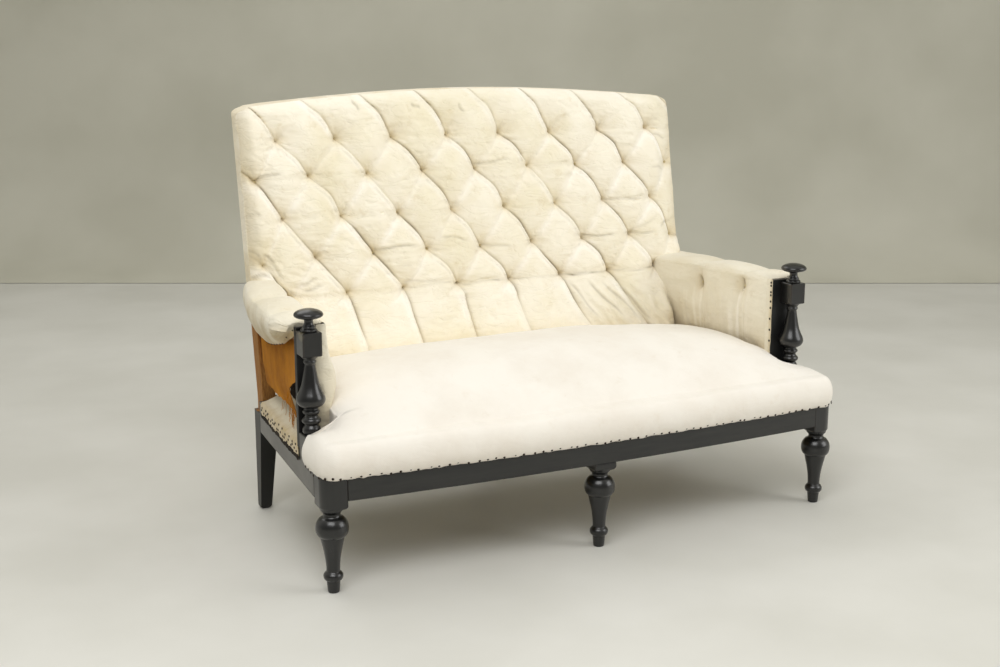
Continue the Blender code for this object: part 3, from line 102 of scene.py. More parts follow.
def curveThrough(points, steps):
    # Catmull-Rom curves along the next to last axis: each span is a cubic set by the points on either side of it
    p = np.concatenate([2 * points[..., :1, :] - points[..., 1:2, :], points,
                        2 * points[..., -1:, :] - points[..., -2:-1, :]], -2)
    t = (np.arange(steps) / steps)[:, None]
    a, b, c, d = (p[..., k:p.shape[-2] - 3 + k, None, :] for k in range(4))
    curve = 0.5 * (2 * b + (c - a) * t + (2 * a - 5 * b + 4 * c - d) * t ** 2 + (3 * b - a - 3 * c + d) * t ** 3)
    return np.concatenate([curve.reshape(*p.shape[:-2], -1, p.shape[-1]), points[..., -1:, :]], -2)


def together(*values):
    # arrays brought to one shape and laid side by side, as the parts of a place
    return np.stack(np.broadcast_arrays(*values), -1)


def gridFaces(rows, columns, around=False):
    # quads between neighbouring points of a grid that is stored row by row
    j = np.arange(rows - 1)[:, None]
    i = np.arange(columns if around else columns - 1)[None, :]
    after = (i + 1) % columns
    corners = [j * columns + i, j * columns + after, (j + 1) * columns + after, (j + 1) * columns + i]
    return together(*corners).reshape(-1, 4)


def endFan(start, columns, centre):
    # triangles from a ring of points to a centre point
    i = np.arange(columns)
    return together(start + i, start + (i + 1) % columns, centre)


def rimOf(rows, columns):
    # numbers of a grid's outermost points, walked once round
    index = np.arange(rows * columns).reshape(rows, columns)
    return np.concatenate([index[0, :-1], index[:-1, -1], index[-1, :0:-1], index[:0:-1, 0]])


def loopWall(number):
    # quads between rows of point numbers, each row a closed loop
    after = np.roll(number, -1, axis=1)
    return together(number[:-1], after[:-1], after[1:], number[1:]).reshape(-1, 4)


def outwardOf(edge, axes, reach):
    # the step from the place before to the place after, turned a quarter outwards and made one long
    ahead = np.roll(edge, -reach, axis=0) - np.roll(edge, reach, axis=0)
    outward = together(ahead[:, axes[1]], -ahead[:, axes[0]])
    return outward / np.linalg.norm(outward, axis=1, keepdims=True)


def closedTube(rings):
    # skin through rings of points, with a fan on each end
    rows, columns = rings.shape[:2]
    points = np.concatenate([rings.reshape(-1, 3), rings[:1].mean(1), rings[-1:].mean(1)])
    last = rows * columns
    faces = [gridFaces(rows, columns, True), endFan(0, columns, last), endFan(last - columns, columns, last + 1)]
    return points, faces


def closedSheet(near, far):
    # two grids of points, joined round their rim
    rows, columns = near.shape[:2]
    rim, grid = rimOf(rows, columns), gridFaces(rows, columns)
    faces = [grid, grid[:, ::-1] + rows * columns, loopWall(np.stack([rim, rim + rows * columns]))]
    return np.concatenate([near.reshape(-1, 3), far.reshape(-1, 3)]), faces


def squareTo(normals):
    # two unit directions square to each normal, the first of them level unless the normal stands upright
    guide = np.where(np.abs(normals[:, 2:]) > 0.9, [[1.0, 0, 0]], [[0, 0, 1.0]])
    first = np.cross(guide, normals)
    first /= np.linalg.norm(first, axis=1, keepdims=True)
    return first, np.cross(normals, first)


def alongPath(path, radius, sides=8):
    # rings square to a path: each is the path's point plus two unit normals times cosine and sine
    ahead = np.gradient(path, axis=0)
    first, second = squareTo(ahead / np.linalg.norm(ahead, axis=1, keepdims=True))
    angle = 2 * np.pi * np.arange(sides)[None, :, None] / sides
    return closedTube(path[:, None] + radius * (second[:, None] * np.sin(angle) - first[:, None] * np.cos(angle)))


def domes(places, normals, radius, tall, sides=8):
    # small heads: a ring at the surface, two smaller rings above it and a crown point, turned to each normal
    normals = np.asarray(normals, float) / np.linalg.norm(normals, axis=1, keepdims=True)
    east, north = squareTo(normals)
    angle = 2 * np.pi * np.arange(sides) / sides
    ring = together(np.cos(angle), np.sin(angle))
    levels = [np.c_[share * ring, np.full(sides, up)] for share, up in ((1.0, 0.0), (0.92, 0.5), (0.55, 0.88))]
    shape = np.concatenate([*levels, [[0, 0, 1.0], [0, 0, -0.35]]]) * (radius, radius, tall)
    points = np.asarray(places)[:, None] + sum(
        shape[:, k:k + 1] * axis[:, None] for k, axis in enumerate((east, north, normals)))
    fans = np.concatenate([endFan(2 * sides, sides, 3 * sides), endFan(0, sides, 3 * sides + 1)])
    jump = (np.arange(len(points)) * len(shape))[:, None, None]
    return points.reshape(-1, 3), [(group[None] + jump).reshape(-1, group.shape[1])
                                   for group in (gridFaces(3, sides, True), fans)]


def bothFaces(u, v):
    # thread places for the two faces of a sheet
    return np.tile(together(u, v).reshape(-1, 2), (2, 1))


def wallThreads(edge, ringCount, step):
    # thread places down a wall: the distance along its edge, and one step for each ring
    runs = np.concatenate([[0], np.cumsum(np.linalg.norm(np.diff(edge, axis=0), axis=1))])
    return together(np.tile(runs, ringCount), np.repeat(np.arange(ringCount) * step, len(edge)))


def placeObject(name, data):
    # a new object in the scene, at the origin
    thing = bpy.data.objects.new(name, data)
    bpy.context.scene.collection.objects.link(thing)
    return thing


def addPiece(name, parts, material, replaced=(), sharp=60, threads=None, marks=None):
    # one mesh from surfaces, each of them points and lists of faces
    faces, start = [], 0
    for points, groups in parts:
        for group in groups:
            faces += (group + start).tolist()
        start += len(points)
    mesh = bpy.data.meshes.new(name)
    mesh.from_pydata(np.concatenate([part[0] for part in parts]).tolist(), [], faces)
    form = bmesh.new()
    form.from_mesh(mesh)
    bmesh.ops.recalc_face_normals(form, faces=form.faces)
    form.to_mesh(mesh)
    form.free()
    mesh.shade_smooth()
    mesh.set_sharp_from_angle(angle=math.radians(sharp))
    if threads is not None:
        layer = mesh.uv_layers.new(name="threads")
        index = np.empty(len(mesh.loops), int)
        mesh.loops.foreach_get("vertex_index", index)
        layer.data.foreach_set("uv", threads[index].astype(np.float32).ravel())
    for label, values in (marks or {}).items():
        mesh.attributes.new(label, "FLOAT", "POINT").data.foreach_set("value", values.astype(np.float32))
    mesh.materials.append(material)
    piece = placeObject(name, mesh)
    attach(piece, "root")
    if replaced:
        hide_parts(*replaced)
    return piece


# Finishes

def tone(code):
    # sRGB hex to linear colour
    values = np.array([int(code[i:i + 2], 16) for i in (0, 2, 4)]) / 255
    linear = np.where(values <= 0.04045, values / 12.92, ((values + 0.055) / 1.055) ** 2.4)
    return (*linear.tolist(), 1.0)


def put(tree, kind, settings, output=0):
    # adds a node and gives one of its outputs; a setting is a property or a socket's link, hex colour or value
    node = tree.nodes.new("ShaderNode" + kind)
    for key, value in settings.items():
        if isinstance(key, str) and key not in node.inputs:
            setattr(node, key, value)
        elif isinstance(value, bpy.types.NodeSocket):
            tree.links.new(value, node.inputs[key])
        else:
            node.inputs[key].default_value = tone(value) if isinstance(value, str) else value
    return node.outputs[output]


def newFinish(name, settings):
    # a material whose shader has these settings, and its nodes
    material = bpy.data.materials.new(name)
    material.use_nodes = True
    for key, value in settings.items():
        material.node_tree.nodes["Principled BSDF"].inputs[key].default_value = value
    return material, material.node_tree


def feed(tree, sources):
    # links outputs to the shader's sockets
    for key, source in sources.items():
        tree.links.new(source, tree.nodes["Principled BSDF"].inputs[key])


def threadPattern(tree, vector, pitch, axes=("X", "Y")):
    # plain weave: the product of two sine waves, high where a thread passes over the other
    waves = []
    for axis in axes:
        place = put(tree, "SeparateXYZ", {0: vector}, axis)
        angle = put(tree, "Math", {"operation": "MULTIPLY", 0: place, 1: math.pi / pitch})
        waves.append(put(tree, "Math", {"operation": "SINE", 0: angle}))
    return put(tree, "Math", {"operation": "MULTIPLY", 0: waves[0], 1: waves[1]})


def calicoFinish(name, clean, aged, stain, blots, crumple):
    # unbleached plain-weave cotton: matt, with a soft bloom, yellowed in patches, with soil and painted shade round the
    # tufts, and painted highlights and painted shade at the folds
    material, tree = newFinish(name, {"Roughness": 0.92, "Sheen Weight": 0.25, "Sheen Roughness": 0.6,
                                      "Specular IOR Level": 0.25})
    place = put(tree, "TexCoord", {}, "Object")
    cloud = put(tree, "TexNoise", {"Vector": place, "Scale": 5.5, "Detail": 5.0, "Roughness": 0.62})
    blot = put(tree, "TexNoise", {"Vector": place, "Scale": 26.0, "Detail": 4.0, "Roughness": 0.7})
    patch = put(tree, "MapRange", {0: cloud, 1: 0.44, 2: 0.70})
    colour = put(tree, "Mix", {"data_type": "RGBA", 0: patch, 6: clean, 7: aged}, 2)
    # over it lie blots, soil mixed with painted shade that the blots break up, painted highlights beside the folds, and
    # painted shade along the creases
    spots = put(tree, "MapRange", {0: blot, 1: 0.60, 2: 0.78, 4: blots})
    broken = put(tree, "MapRange", {0: blot, 1: 0.25, 2: 0.65, 3: 0.55})
    overlays = [(spots, stain)]
    for mark, strength, over in (("soilAndShade", broken, stain), ("paintedHighlight", 0.75, "fffaf0"), ("crease", 0.92, "7a6a48")):
        marked = put(tree, "Attribute", {"attribute_name": mark}, "Fac")
        overlays.append((put(tree, "Math", {"operation": "MULTIPLY", 0: marked, 1: strength}), over))
    for share, over in overlays:
        colour = put(tree, "Mix", {"data_type": "RGBA", 0: share, 6: colour, 7: over}, 2)
    # the 0.9 mm threads are drawn at 1.8 mm, the least that the render shows
    weave = threadPattern(tree, put(tree, "TexCoord", {}, "UV"), 0.0018)
    slub = put(tree, "TexNoise", {"Vector": place, "Scale": 150.0, "Detail": 3.0})
    height = put(tree, "Math", {"operation": "MULTIPLY_ADD", 0: weave, 1: 0.35, 2: slub})
    bump = put(tree, "Bump", {"Strength": 0.25, "Distance": 0.0006, "Height": height})
    # small creases: lines where a stretched noise passes its middle value
    level = put(tree, "Mapping", {0: place, "Scale": (1.0, 1.0, 2.6)})
    crumpled = put(tree, "TexNoise", {"Vector": level, "Scale": 17.0, "Detail": 3.0, "Distortion": 0.9})
    away = put(tree, "Math", {"operation": "SUBTRACT", 0: crumpled, 1: 0.5})
    away = put(tree, "Math", {"operation": "ABSOLUTE", 0: away})
    line = put(tree, "MapRange", {0: away, 2: 0.075})
    bump = put(tree, "Bump", {"Strength": crumple, "Distance": 0.003, "Height": line, "Normal": bump})
    feed(tree, {"Base Color": colour, "Normal": bump})
    return material


def ebonisedFinish(name, deep, worn, grain, coat, rough, bareSpot=None):
    # beech stained black under shellac: deep, satin, faintly brown where hands have worn it
    material, tree = newFinish(name, {"Coat Weight": coat, "Coat Roughness": 0.16, "IOR": 1.5})
    place = put(tree, "TexCoord", {}, "Object")
    along = put(tree, "Mapping", {0: place, "Scale": grain})
    streak = put(tree, "TexNoise", {"Vector": along, "Scale": 14.0, "Detail": 6.0, "Roughness": 0.6})
    cloud = put(tree, "TexNoise", {"Vector": place, "Scale": 9.0, "Detail": 3.0})
    share = put(tree, "MapRange", {0: streak, 1: 0.35, 2: 0.7})
    colour = put(tree, "Mix", {"data_type": "RGBA", 0: share, 6: deep, 7: worn}, 2)
    rubbed = put(tree, "MapRange", {0: put(tree, "NewGeometry", {}, "Pointiness"), 1: 0.56, 2: 0.66, 4: 0.35})
    colour = put(tree, "Mix", {"data_type": "RGBA", 0: rubbed, 6: colour, 7: "4a3c2e"}, 2)
    if bareSpot:
        # a patch worn to the wood: full within 15 mm of the spot, gone 19 mm from it, and ragged
        reach = put(tree, "VectorMath", {"operation": "DISTANCE", 0: place, 1: bareSpot}, "Value")
        ragged = put(tree, "Math", {"operation": "MULTIPLY_ADD", 0: streak, 1: 0.012, 2: reach})
        bare = put(tree, "MapRange", {0: ragged, 1: 0.015, 2: 0.019, 3: 0.85, 4: 0.0})
        colour = put(tree, "Mix", {"data_type": "RGBA", 0: bare, 6: colour, 7: "57503c"}, 2)
    dull = put(tree, "MapRange", {0: cloud, 1: 0.3, 2: 0.7, 3: rough, 4: rough + 0.12})
    bump = put(tree, "Bump", {"Strength": 0.08, "Distance": 0.0008, "Height": streak})
    feed(tree, {"Base Color": colour, "Roughness": dull, "Normal": bump})
    return material


def bareWoodFinish(name, dark, light, grain, blackBelow=None):
    # unpolished old beech: dry, brown, streaked along the grain with short dark flecks
    material, tree = newFinish(name, {"Roughness": 0.72, "IOR": 1.5, "Specular IOR Level": 0.35})
    place = put(tree, "TexCoord", {}, "Object")
    along = put(tree, "Mapping", {0: place, "Scale": grain})
    streak = put(tree, "TexNoise", {"Vector": along, "Scale": 55.0, "Detail": 7.0, "Roughness": 0.62,
                                    "Distortion": 0.35})
    fleck = put(tree, "TexNoise", {"Vector": along, "Scale": 420.0, "Detail": 2.0})
    share = put(tree, "MapRange", {0: streak, 1: 0.32, 2: 0.68})
    colour = put(tree, "Mix", {"data_type": "RGBA", 0: share, 6: dark, 7: light}, 2)
    flecked = put(tree, "MapRange", {0: fleck, 1: 0.62, 2: 0.72, 4: 0.5})
    colour = put(tree, "Mix", {"data_type": "RGBA", 0: flecked, 6: colour, 7: "33200f"}, 2)
    feed(tree, {"Normal": put(tree, "Bump", {"Strength": 0.25, "Distance": 0.0008, "Height": streak})})
    if blackBelow:
        # the leg is ebonised up to a ragged line just under the arm's padding
        ragged = put(tree, "TexNoise", {"Vector": place, "Scale": 60.0, "Detail": 2.0})
        height = put(tree, "SeparateXYZ", {0: place}, "Z")
        level = put(tree, "Math", {"operation": "MULTIPLY_ADD", 0: ragged, 1: 0.012, 2: height})
        bare = put(tree, "MapRange", {0: level, 1: blackBelow, 2: blackBelow + 0.003})
        colour = put(tree, "Mix", {"data_type": "RGBA", 0: bare, 6: "1d1d1b", 7: colour}, 2)
        feed(tree, {"Roughness": put(tree, "MapRange", {0: bare, 3: 0.36, 4: 0.72})})
    feed(tree, {"Base Color": colour})
    return material


def hessianFinish(name, dark, light, gap, hair, axes=None):
    # loose plain-weave jute: hairy ochre threads 2.2 mm apart, darker in the gaps between them
    material, tree = newFinish(name, {"Roughness": 0.95, "Sheen Weight": 0.04, "Specular IOR Level": 0.08})
    place = put(tree, "TexCoord", {}, "Object")
    weave = threadPattern(tree, place if axes else put(tree, "TexCoord", {}, "UV"), 0.0022, axes or ("X", "Y"))
    cloud = put(tree, "TexNoise", {"Vector": place, "Scale": 9.0, "Detail": 5.0, "Roughness": 0.65})
    fuzz = put(tree, "TexNoise", {"Vector": place, "Scale": 320.0, "Detail": 2.0})
    share = put(tree, "MapRange", {0: cloud, 1: 0.35, 2: 0.7})
    colour = put(tree, "Mix", {"data_type": "RGBA", 0: share, 6: dark, 7: light}, 2)
    between = put(tree, "MapRange", {0: weave, 1: -0.9, 2: -0.1, 3: 0.42, 4: 0.0})
    colour = put(tree, "Mix", {"data_type": "RGBA", 0: between, 6: colour, 7: gap}, 2)
    hairy = put(tree, "MapRange", {0: fuzz, 1: 0.55, 2: 0.8, 4: 0.3})
    colour = put(tree, "Mix", {"data_type": "RGBA", 0: hairy, 6: colour, 7: hair}, 2)
    height = put(tree, "Math", {"operation": "MULTIPLY_ADD", 0: fuzz, 1: 0.5, 2: weave})
    bump = put(tree, "Bump", {"Strength": 0.55, "Distance": 0.0012, "Height": height})
    feed(tree, {"Base Color": colour, "Normal": bump})
    return material


def metalFinish(name, metallic, scale, detail, colours, spread, rough):
    # iron with a clouded skin: one noise gives both its two colours and how dull it is
    material, tree = newFinish(name, {"Metallic": metallic})
    place = put(tree, "TexCoord", {}, "Object")
    cloud = put(tree, "TexNoise", {"Vector": place, "Scale": scale, "Detail": detail})
    share = put(tree, "MapRange", {0: cloud, 1: spread[0], 2: spread[1]}) if spread else cloud
    low, high = (0.0, 1.0) if spread else (0.3, 0.7)
    feed(tree, {"Base Color": put(tree, "Mix", {"data_type": "RGBA", 0: share, 6: colours[0], 7: colours[1]}, 2),
                "Roughness": put(tree, "MapRange", {0: share, 1: low, 2: high, 3: rough[0], 4: rough[1]})})
    return material


backCalico = calicoFinish("agedCalico", "f8f1df", "f0e7cc", "cbb583", blots=0.35, crumple=0.30)
seatCalico = calicoFinish("seatCalico", "f0ebe2", "e9e2d7", "d6c7b0", blots=0.25, crumple=0.07)
armCalico = calicoFinish("armCalico", "ebe4d1", "e0d6bc", "bba576", blots=0.40, crumple=0.20)
tieCotton = calicoFinish("tuftCotton", "c2b288", "ab9868", "8a754a", blots=0.6, crumple=0.1)
uprightGrain, acrossGrain, deepGrain = (6.0, 6.0, 0.6), (0.6, 6.0, 6.0), (6.0, 0.6, 6.0)
turnedBlack = ebonisedFinish("polishedEbonised", "080808", "10100f", uprightGrain, coat=0.30, rough=0.26,
                             bareSpot=(-0.6402, -0.2215, 0.5190))
boardBlack = ebonisedFinish("dullEbonised", "070707", "0e0e0d", uprightGrain, coat=0.05, rough=0.46)
railBlack = ebonisedFinish("satinEbonised", "1c1c1b", "262623", acrossGrain, coat=0.08, rough=0.42)
sideBlack = ebonisedFinish("satinEbonisedSide", "1c1c1b", "282825", deepGrain, coat=0.35, rough=0.34)
stileWood = bareWoodFinish("bareStile", "7e5426", "b37f42", uprightGrain, blackBelow=0.2505)
acrossWood = bareWoodFinish("bareRail", "5d4026", "8f6c45", acrossGrain)
armWood = bareWoodFinish("bareArmRail", "6d4524", "9a6c3e", deepGrain)
uprightWood = bareWoodFinish("bareUpright", "5d4026", "8f6c45", uprightGrain)
slingHessian = hessianFinish("ochreHessian", "a2641a", "d18c24", "664010", "d09434")
flatHessian = hessianFinish("outsideHessian", "93713f", "b8965a", "6b4d25", "cdb07a", axes=("X", "Z"))
webHessian = hessianFinish("juteWebbing", "a8946a", "c9b88e", "85714a", "dccfa9")
# dark old cloth, also used as painted shade in gaps at the arms
darkClothAndShade = hessianFinish("blackenedClothAndShade", "1c1713", "3a2f26", "0e0b09", "5a4a3a")
# drawn spring wire, dull grey with a brown bloom of old rust, and blued cut tacks, near black with a dull glint
springWire = metalFinish("drawnWire", 1.0, 60.0, 4.0, ("77726a", "5d4433"), (0.45, 0.65), (0.38, 0.7))
tackBlack = metalFinish("bluedTack", 0.75, 90.0, 2.0, ("1d1a17", "3a2a1e"), None, (0.4, 0.6))
print("Finishes made")


# Turned and squared wood

def outline(points, half, power):
    # superellipse: the reach at each angle is half over the power mean of sine and cosine
    angle = 2 * np.pi * (np.arange(points) + 0.5) / points
    c, s = np.abs(np.cos(angle)), np.abs(np.sin(angle))
    reach = half / (c ** power + s ** power) ** (1 / power)
    return together(reach * np.cos(angle), reach * np.sin(angle))


turnings = {
    "sides": 96,
    "steps": 4,  # curve points for each span of a profile
    "squareness": 44.0,
    "leg": (  # height above the floor and radius, in millimetres
        (0, 10.5), (0.8, 11.6), (3, 12.2), (12, 13.1), (22, 13.9), (25.5, 14.2), (26.5, 15.6), (28.5, 18.2),
        (32, 20.0), (36, 20.5), (39.5, 19.8), (43, 17.4), (45.5, 14.9), (48, 14.1), (60, 14.6), (76, 16.3),
        (92, 19.2), (106, 22.4), (116, 24.6), (120, 25.2), (121.5, 26.4), (123.5, 29.2), (128, 32.2),
        (134, 33.8), (140, 34.2), (147, 33.4), (153, 31.2), (158, 28.0), (161, 25.0), (163, 21.6),
        (165, 19.0), (168, 17.8), (171, 18.0), (174, 20.0), (177, 22.6), (179.5, 23.6)),
    "vase": (
        (309.5, 15.0), (311, 17.5), (315, 19.3), (322, 18.2), (327, 15.2), (329, 14.4), (331.5, 16.6),
        (335, 19.6), (339, 19.9), (342.5, 18.0), (345.5, 14.8), (349.5, 13.6), (352, 15.6), (355.5, 18.0),
        (359, 17.6), (361.5, 15.0), (364, 14.2), (366, 17), (368.5, 22), (373, 27.2), (379, 30.0), (385, 30.2),
        (392, 28.2), (401, 24.0), (412, 19.6), (425, 16.6), (440, 13.8), (452, 11.8), (457, 11.0), (459.5, 12.6),
        (463, 13.8), (466.5, 12.6), (468.5, 13.6), (472, 16.5), (474.5, 18.5)),
    "finial": (
        (526.3, 16.8), (527.8, 17.6), (530.5, 17.4), (532.6, 15.2), (534.2, 13.4), (536.4, 13.8), (538.6, 12.4),
        (541.5, 10.4), (546.3, 9.3), (551.0, 10.0), (552.8, 13.5), (553.8, 19), (555.3, 25), (557.8, 29.2),
        (560.8, 30.5), (564.3, 29.4), (567.8, 25.5), (570.8, 19), (572.9, 11), (573.6, 5)),
    "legBlock": ((0.1822, 0.0030), (0.1850, 0.0010), (0.1872, 0.0)),  # heights and chamfers, above the turned part
    "postBlock": 0.021,  # half width of the arm post's squares
    "postBase": ((0.2745, 0.001), (0.2755, 0.0), (0.3068, 0.0), (0.3086, 0.0016)),
    "postTop": ((0.4752, 0.0018), (0.4768, 0.0), (0.5246, 0.0), (0.5260, 0.0014)),
    "sharp": 38,
}


def turned(profile, centre):
    # profile carried round a vertical axis: each ring is a circle of the profile's radius
    curve = curveThrough(np.array(profile, float), turnings["steps"]) / 1000
    ring = outline(turnings["sides"], 1.0, 2)
    rings = np.empty((len(curve), turnings["sides"], 3))
    rings[..., :2] = curve[:, None, 1:] * ring[None] + np.array(centre)
    rings[..., 2] = curve[:, :1]
    return rings


def squared(half, levels, centre, cornerSide=0):
    # rings of a rounded square; cornerSide is the side whose front corner stays a quarter circle
    heights, chamfers = np.array(levels).T[..., None]
    flat = outline(turnings["sides"], half, turnings["squareness"])
    if cornerSide:
        outer = (flat[:, 0] * cornerSide > 0) & (flat[:, 1] < 0)
        flat = np.where(outer[:, None], outline(turnings["sides"], half, 2), flat)
    rings = np.empty((len(heights), len(flat), 3))
    rings[..., :2] = flat[None] * (1 - chamfers[..., None] / half) + np.array(centre)
    rings[..., 2] = heights
    return rings


for name, x, corner in (("front_leg_left", -sofa["legX"], -1), ("front_leg_right", sofa["legX"], 1),
                        ("front_leg_centre", 0.0, 0)):
    y = sofa["frontAxis"] - (0.0 if corner else sofa["bow"])
    blockTop = sofa["railTop"] - 0.0004 if corner else sofa["railLow"] - 0.0003
    levels = (*turnings["legBlock"], (blockTop - 0.001, 0.0), (blockTop, 0.0004))
    rings = np.concatenate([turned(turnings["leg"], (x, y)), squared(sofa["halfBlock"], levels, (x, y), corner)])
    addPiece(f"turned_{name}", [closedTube(rings)], turnedBlack, (name,), turnings["sharp"])

for side, label in ((-1, "left"), (1, "right")):
    centre = (side * sofa["postX"], sofa["postY"])
    base, top = (squared(turnings["postBlock"], turnings[part], centre) for part in ("postBase", "postTop"))
    rings = np.concatenate([base, turned(turnings["vase"], centre), top])
    # the board stands against the post's flat rear
    rings[..., 1] = np.minimum(rings[..., 1], sofa["boardFront"] - 0.0003)
    for made, node, shape in (("turned_arm_post", "arm_post", rings),
                              ("turned_finial", "arm_finial", turned(turnings["finial"], centre))):
        addPiece(f"{made}_{label}", [closedTube(shape)], turnedBlack, (f"{node}_{label}",),
                 turnings["sharp"])
print("Turned wood made")

frontRail = {"stations": 97, "thick": 0.034, "arris": 0.0016, "inset": 0.0001, "sharp": 50}


def frontFace(x):
    # y of the front rail's face: a parabola between the leg blocks
    share = np.minimum(1.0, np.abs(x) / (sofa["legX"] - sofa["halfBlock"]))
    return sofa["frontAxis"] - sofa["halfBlock"] - sofa["bow"] * (1 - share ** 2)


# rounded rectangle carried along the bow: each corner is a quarter circle of the arris
half = sofa["legX"] - sofa["halfBlock"] - frontRail["inset"]
stations = np.linspace(-half, half, frontRail["stations"])
arris, thick, tall = frontRail["arris"], frontRail["thick"], sofa["railTop"] - sofa["railLow"]
section = []
for turn, (cy, cz) in enumerate(((thick - arris, tall - arris), (arris, tall - arris),
                                 (arris, arris), (thick - arris, arris))):
    angle = np.radians((0, 30, 60, 90)) + turn * np.pi / 2
    section.append(together(cy + arris * np.cos(angle), cz + arris * np.sin(angle)))
section = np.concatenate(section)
rings = np.empty((len(stations), len(section), 3))
rings[..., 0] = stations[:, None]
rings[..., 1] = frontFace(stations)[:, None] + section[:, 0]
rings[..., 2] = sofa["railLow"] + section[:, 1]
addPiece("bowed_front_rail", [closedTube(rings)], railBlack, ("front_rail",), frontRail["sharp"])

eased = {
    "merge": 0.00001, "segments": 2, "angle": 35, "sharp": 30,
    "nodes": {  # finish, slot and width of the arris
        "side_rail": (sideBlack, "ebonised_wood", 0.0018), "rear_post": (stileWood, "ebonised_wood", 0.0018),
        "arm_board": (boardBlack, "ebonised_wood", 0.0010), "arm_rail": (armWood, "bare_wood", 0.0020),
        "rear_leg": (sideBlack, "ebonised_wood", 0.0018), "back_seat": (acrossWood, "bare_wood", 0.0018),
        "back_lower": (acrossWood, "bare_wood", 0.0018), "back_upright": (uprightWood, "bare_wood", 0.0018),
        "crest_rail": (acrossWood, "bare_wood", 0.0018)},
}
for node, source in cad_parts.items():
    for start, (material, slotName, width) in eased["nodes"].items():
        if not node.startswith(start):
            continue
        # a merged copy of the solid, with its sharp arrises rounded
        mesh = source.data.copy()
        form = bmesh.new()
        form.from_mesh(mesh)
        bmesh.ops.remove_doubles(form, verts=form.verts, dist=eased["merge"])
        form.to_mesh(mesh)
        form.free()
        mesh.materials.clear()
        mesh.materials.append(material)
        mesh.shade_smooth()
        mesh.set_sharp_from_angle(angle=math.radians(eased["sharp"]))
        piece = placeObject(f"eased_{node}", mesh)
        rounding = piece.modifiers.new("arris", "BEVEL")
        rounding.width, rounding.segments = width, eased["segments"]
        rounding.limit_method, rounding.angle_limit = "ANGLE", math.radians(eased["angle"])
        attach(piece, "root")
        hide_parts(node)
print("Squared wood made")


# The buttoned back

back = {
    "pitch": 0.146,  # between the buttons of a row
    "step": 0.091,  # between rows, on the whole
    "spacing": 0.1139,  # between folds, square to them
    "rows": (0.508, 0.596, 0.690, 0.787, 0.872),  # heights of the rows of buttons
    "cells": 24,  # grid steps from a button to the next diagonal one, either way
    "belowRows": 1.8, "belowLean": 0.25,  # pleats below the lowest row, and how much they still slant
    "roll": 0.030,  # radius of the front's edge
    "rim": 0.0015,  # the front face stops this far inside the outline
    "half": 0.599, "narrowHalf": 0.5590, "shoulder": (0.520, 0.546), "innerX": 0.515,
    "bottom": 0.345, "archEnds": 0.952, "archRise": 0.033, "cornerRadius": 0.023,
    "plane": 0.2172,  # y of the tufts, before the lean
    "crest": 0.050,  # how far the stuffing stands out between them
    "bulge": 0.055,  # sideways swing of each fold, as a share of the folds' spacing
    "dome": 0.0088, "fold": 0.0068, "crease": 0.0062, "lip": (0.0030, 0.0016),  # depths of the relief
    "softFold": 0.0062, "levelFold": 0.0078,
    "pit": (0.0150, 0.005), "gather": 0.0012, "lumbar": 0.022, "sharp": 75,
    "drags": ((45, 0.0026, 0.060, 0.014), (46, 0.0018, 0.034, 0.009)),  # seed, depth, length and height
}
# single drag lines in the cover: x and z of both ends, and the depth
dragLines = (
    (0.254, 0.605, 0.387, 0.602, 0.0030), (0.405, 0.601, 0.509, 0.602, 0.0024), (-0.022, 0.798, 0.097, 0.810, 0.0022),
    (0.349, 0.692, 0.478, 0.690, 0.0024), (-0.296, 0.608, -0.174, 0.614, 0.0032),
    (-0.238, 0.524, -0.096, 0.525, 0.0018),
    (-0.489, 0.537, -0.443, 0.552, 0.0026), (-0.485, 0.525, -0.430, 0.535, 0.0026),
    (-0.600, 0.564, -0.560, 0.567, 0.0036), (-0.581, 0.781, -0.509, 0.805, 0.0028),
    (-0.600, 0.703, -0.568, 0.710, 0.0022), (-0.119, 0.630, -0.038, 0.615, 0.0020),
    (-0.011, 0.603, 0.084, 0.589, 0.0020), (0.521, 0.856, 0.568, 0.844, 0.0024), (0.501, 0.776, 0.560, 0.762, 0.0020),
    (0.519, 0.615, 0.572, 0.630, 0.0026), (0.232, 0.492, 0.308, 0.390, 0.0026), (0.280, 0.493, 0.381, 0.389, 0.0032),
    (0.328, 0.487, 0.430, 0.379, 0.0028), (0.376, 0.473, 0.467, 0.371, 0.0034), (-0.319, 0.966, -0.309, 0.936, 0.0034),
    (-0.173, 0.953, -0.145, 0.938, 0.0030), (-0.047, 0.950, -0.032, 0.926, 0.0026),
    (-0.575, 0.616, -0.542, 0.597, 0.0026), (-0.600, 0.629, -0.570, 0.600, 0.0022),
    (-0.557, 0.598, -0.527, 0.554, 0.0018), (0.430, 0.604, 0.528, 0.646, 0.0014),
)


def rowHeight(r):
    # height of a place counted in rows of buttons, carried on evenly past both ends
    rows = np.array(back["rows"])
    inside = np.interp(r, np.arange(len(rows)), rows)
    return inside + np.minimum(r, 0) * back["step"] + np.maximum(r - len(rows) + 1, 0) * back["step"]


def insetTop(x):
    # top edge of the front face, just inside the outline: an arch as a cosine, with round corners
    arch = back["archEnds"] + back["archRise"] * np.cos(np.minimum(1, np.abs(x) / back["half"]) * np.pi / 2)
    radius = back["cornerRadius"] - back["rim"]
    over = np.clip(np.abs(x) - back["half"] + back["cornerRadius"], 0, radius)
    return arch - back["cornerRadius"] + np.sqrt(radius ** 2 - over ** 2)


def halfWidth(x, z):
    # the right side is stuffed more thinly over its stile than the left
    full = back["half"] - np.where(x > 0, 0.0020, 0) * smooth(z, 0.56, 0.66)
    return back["narrowHalf"] + (full - back["narrowHalf"]) * smooth(z, *back["shoulder"])


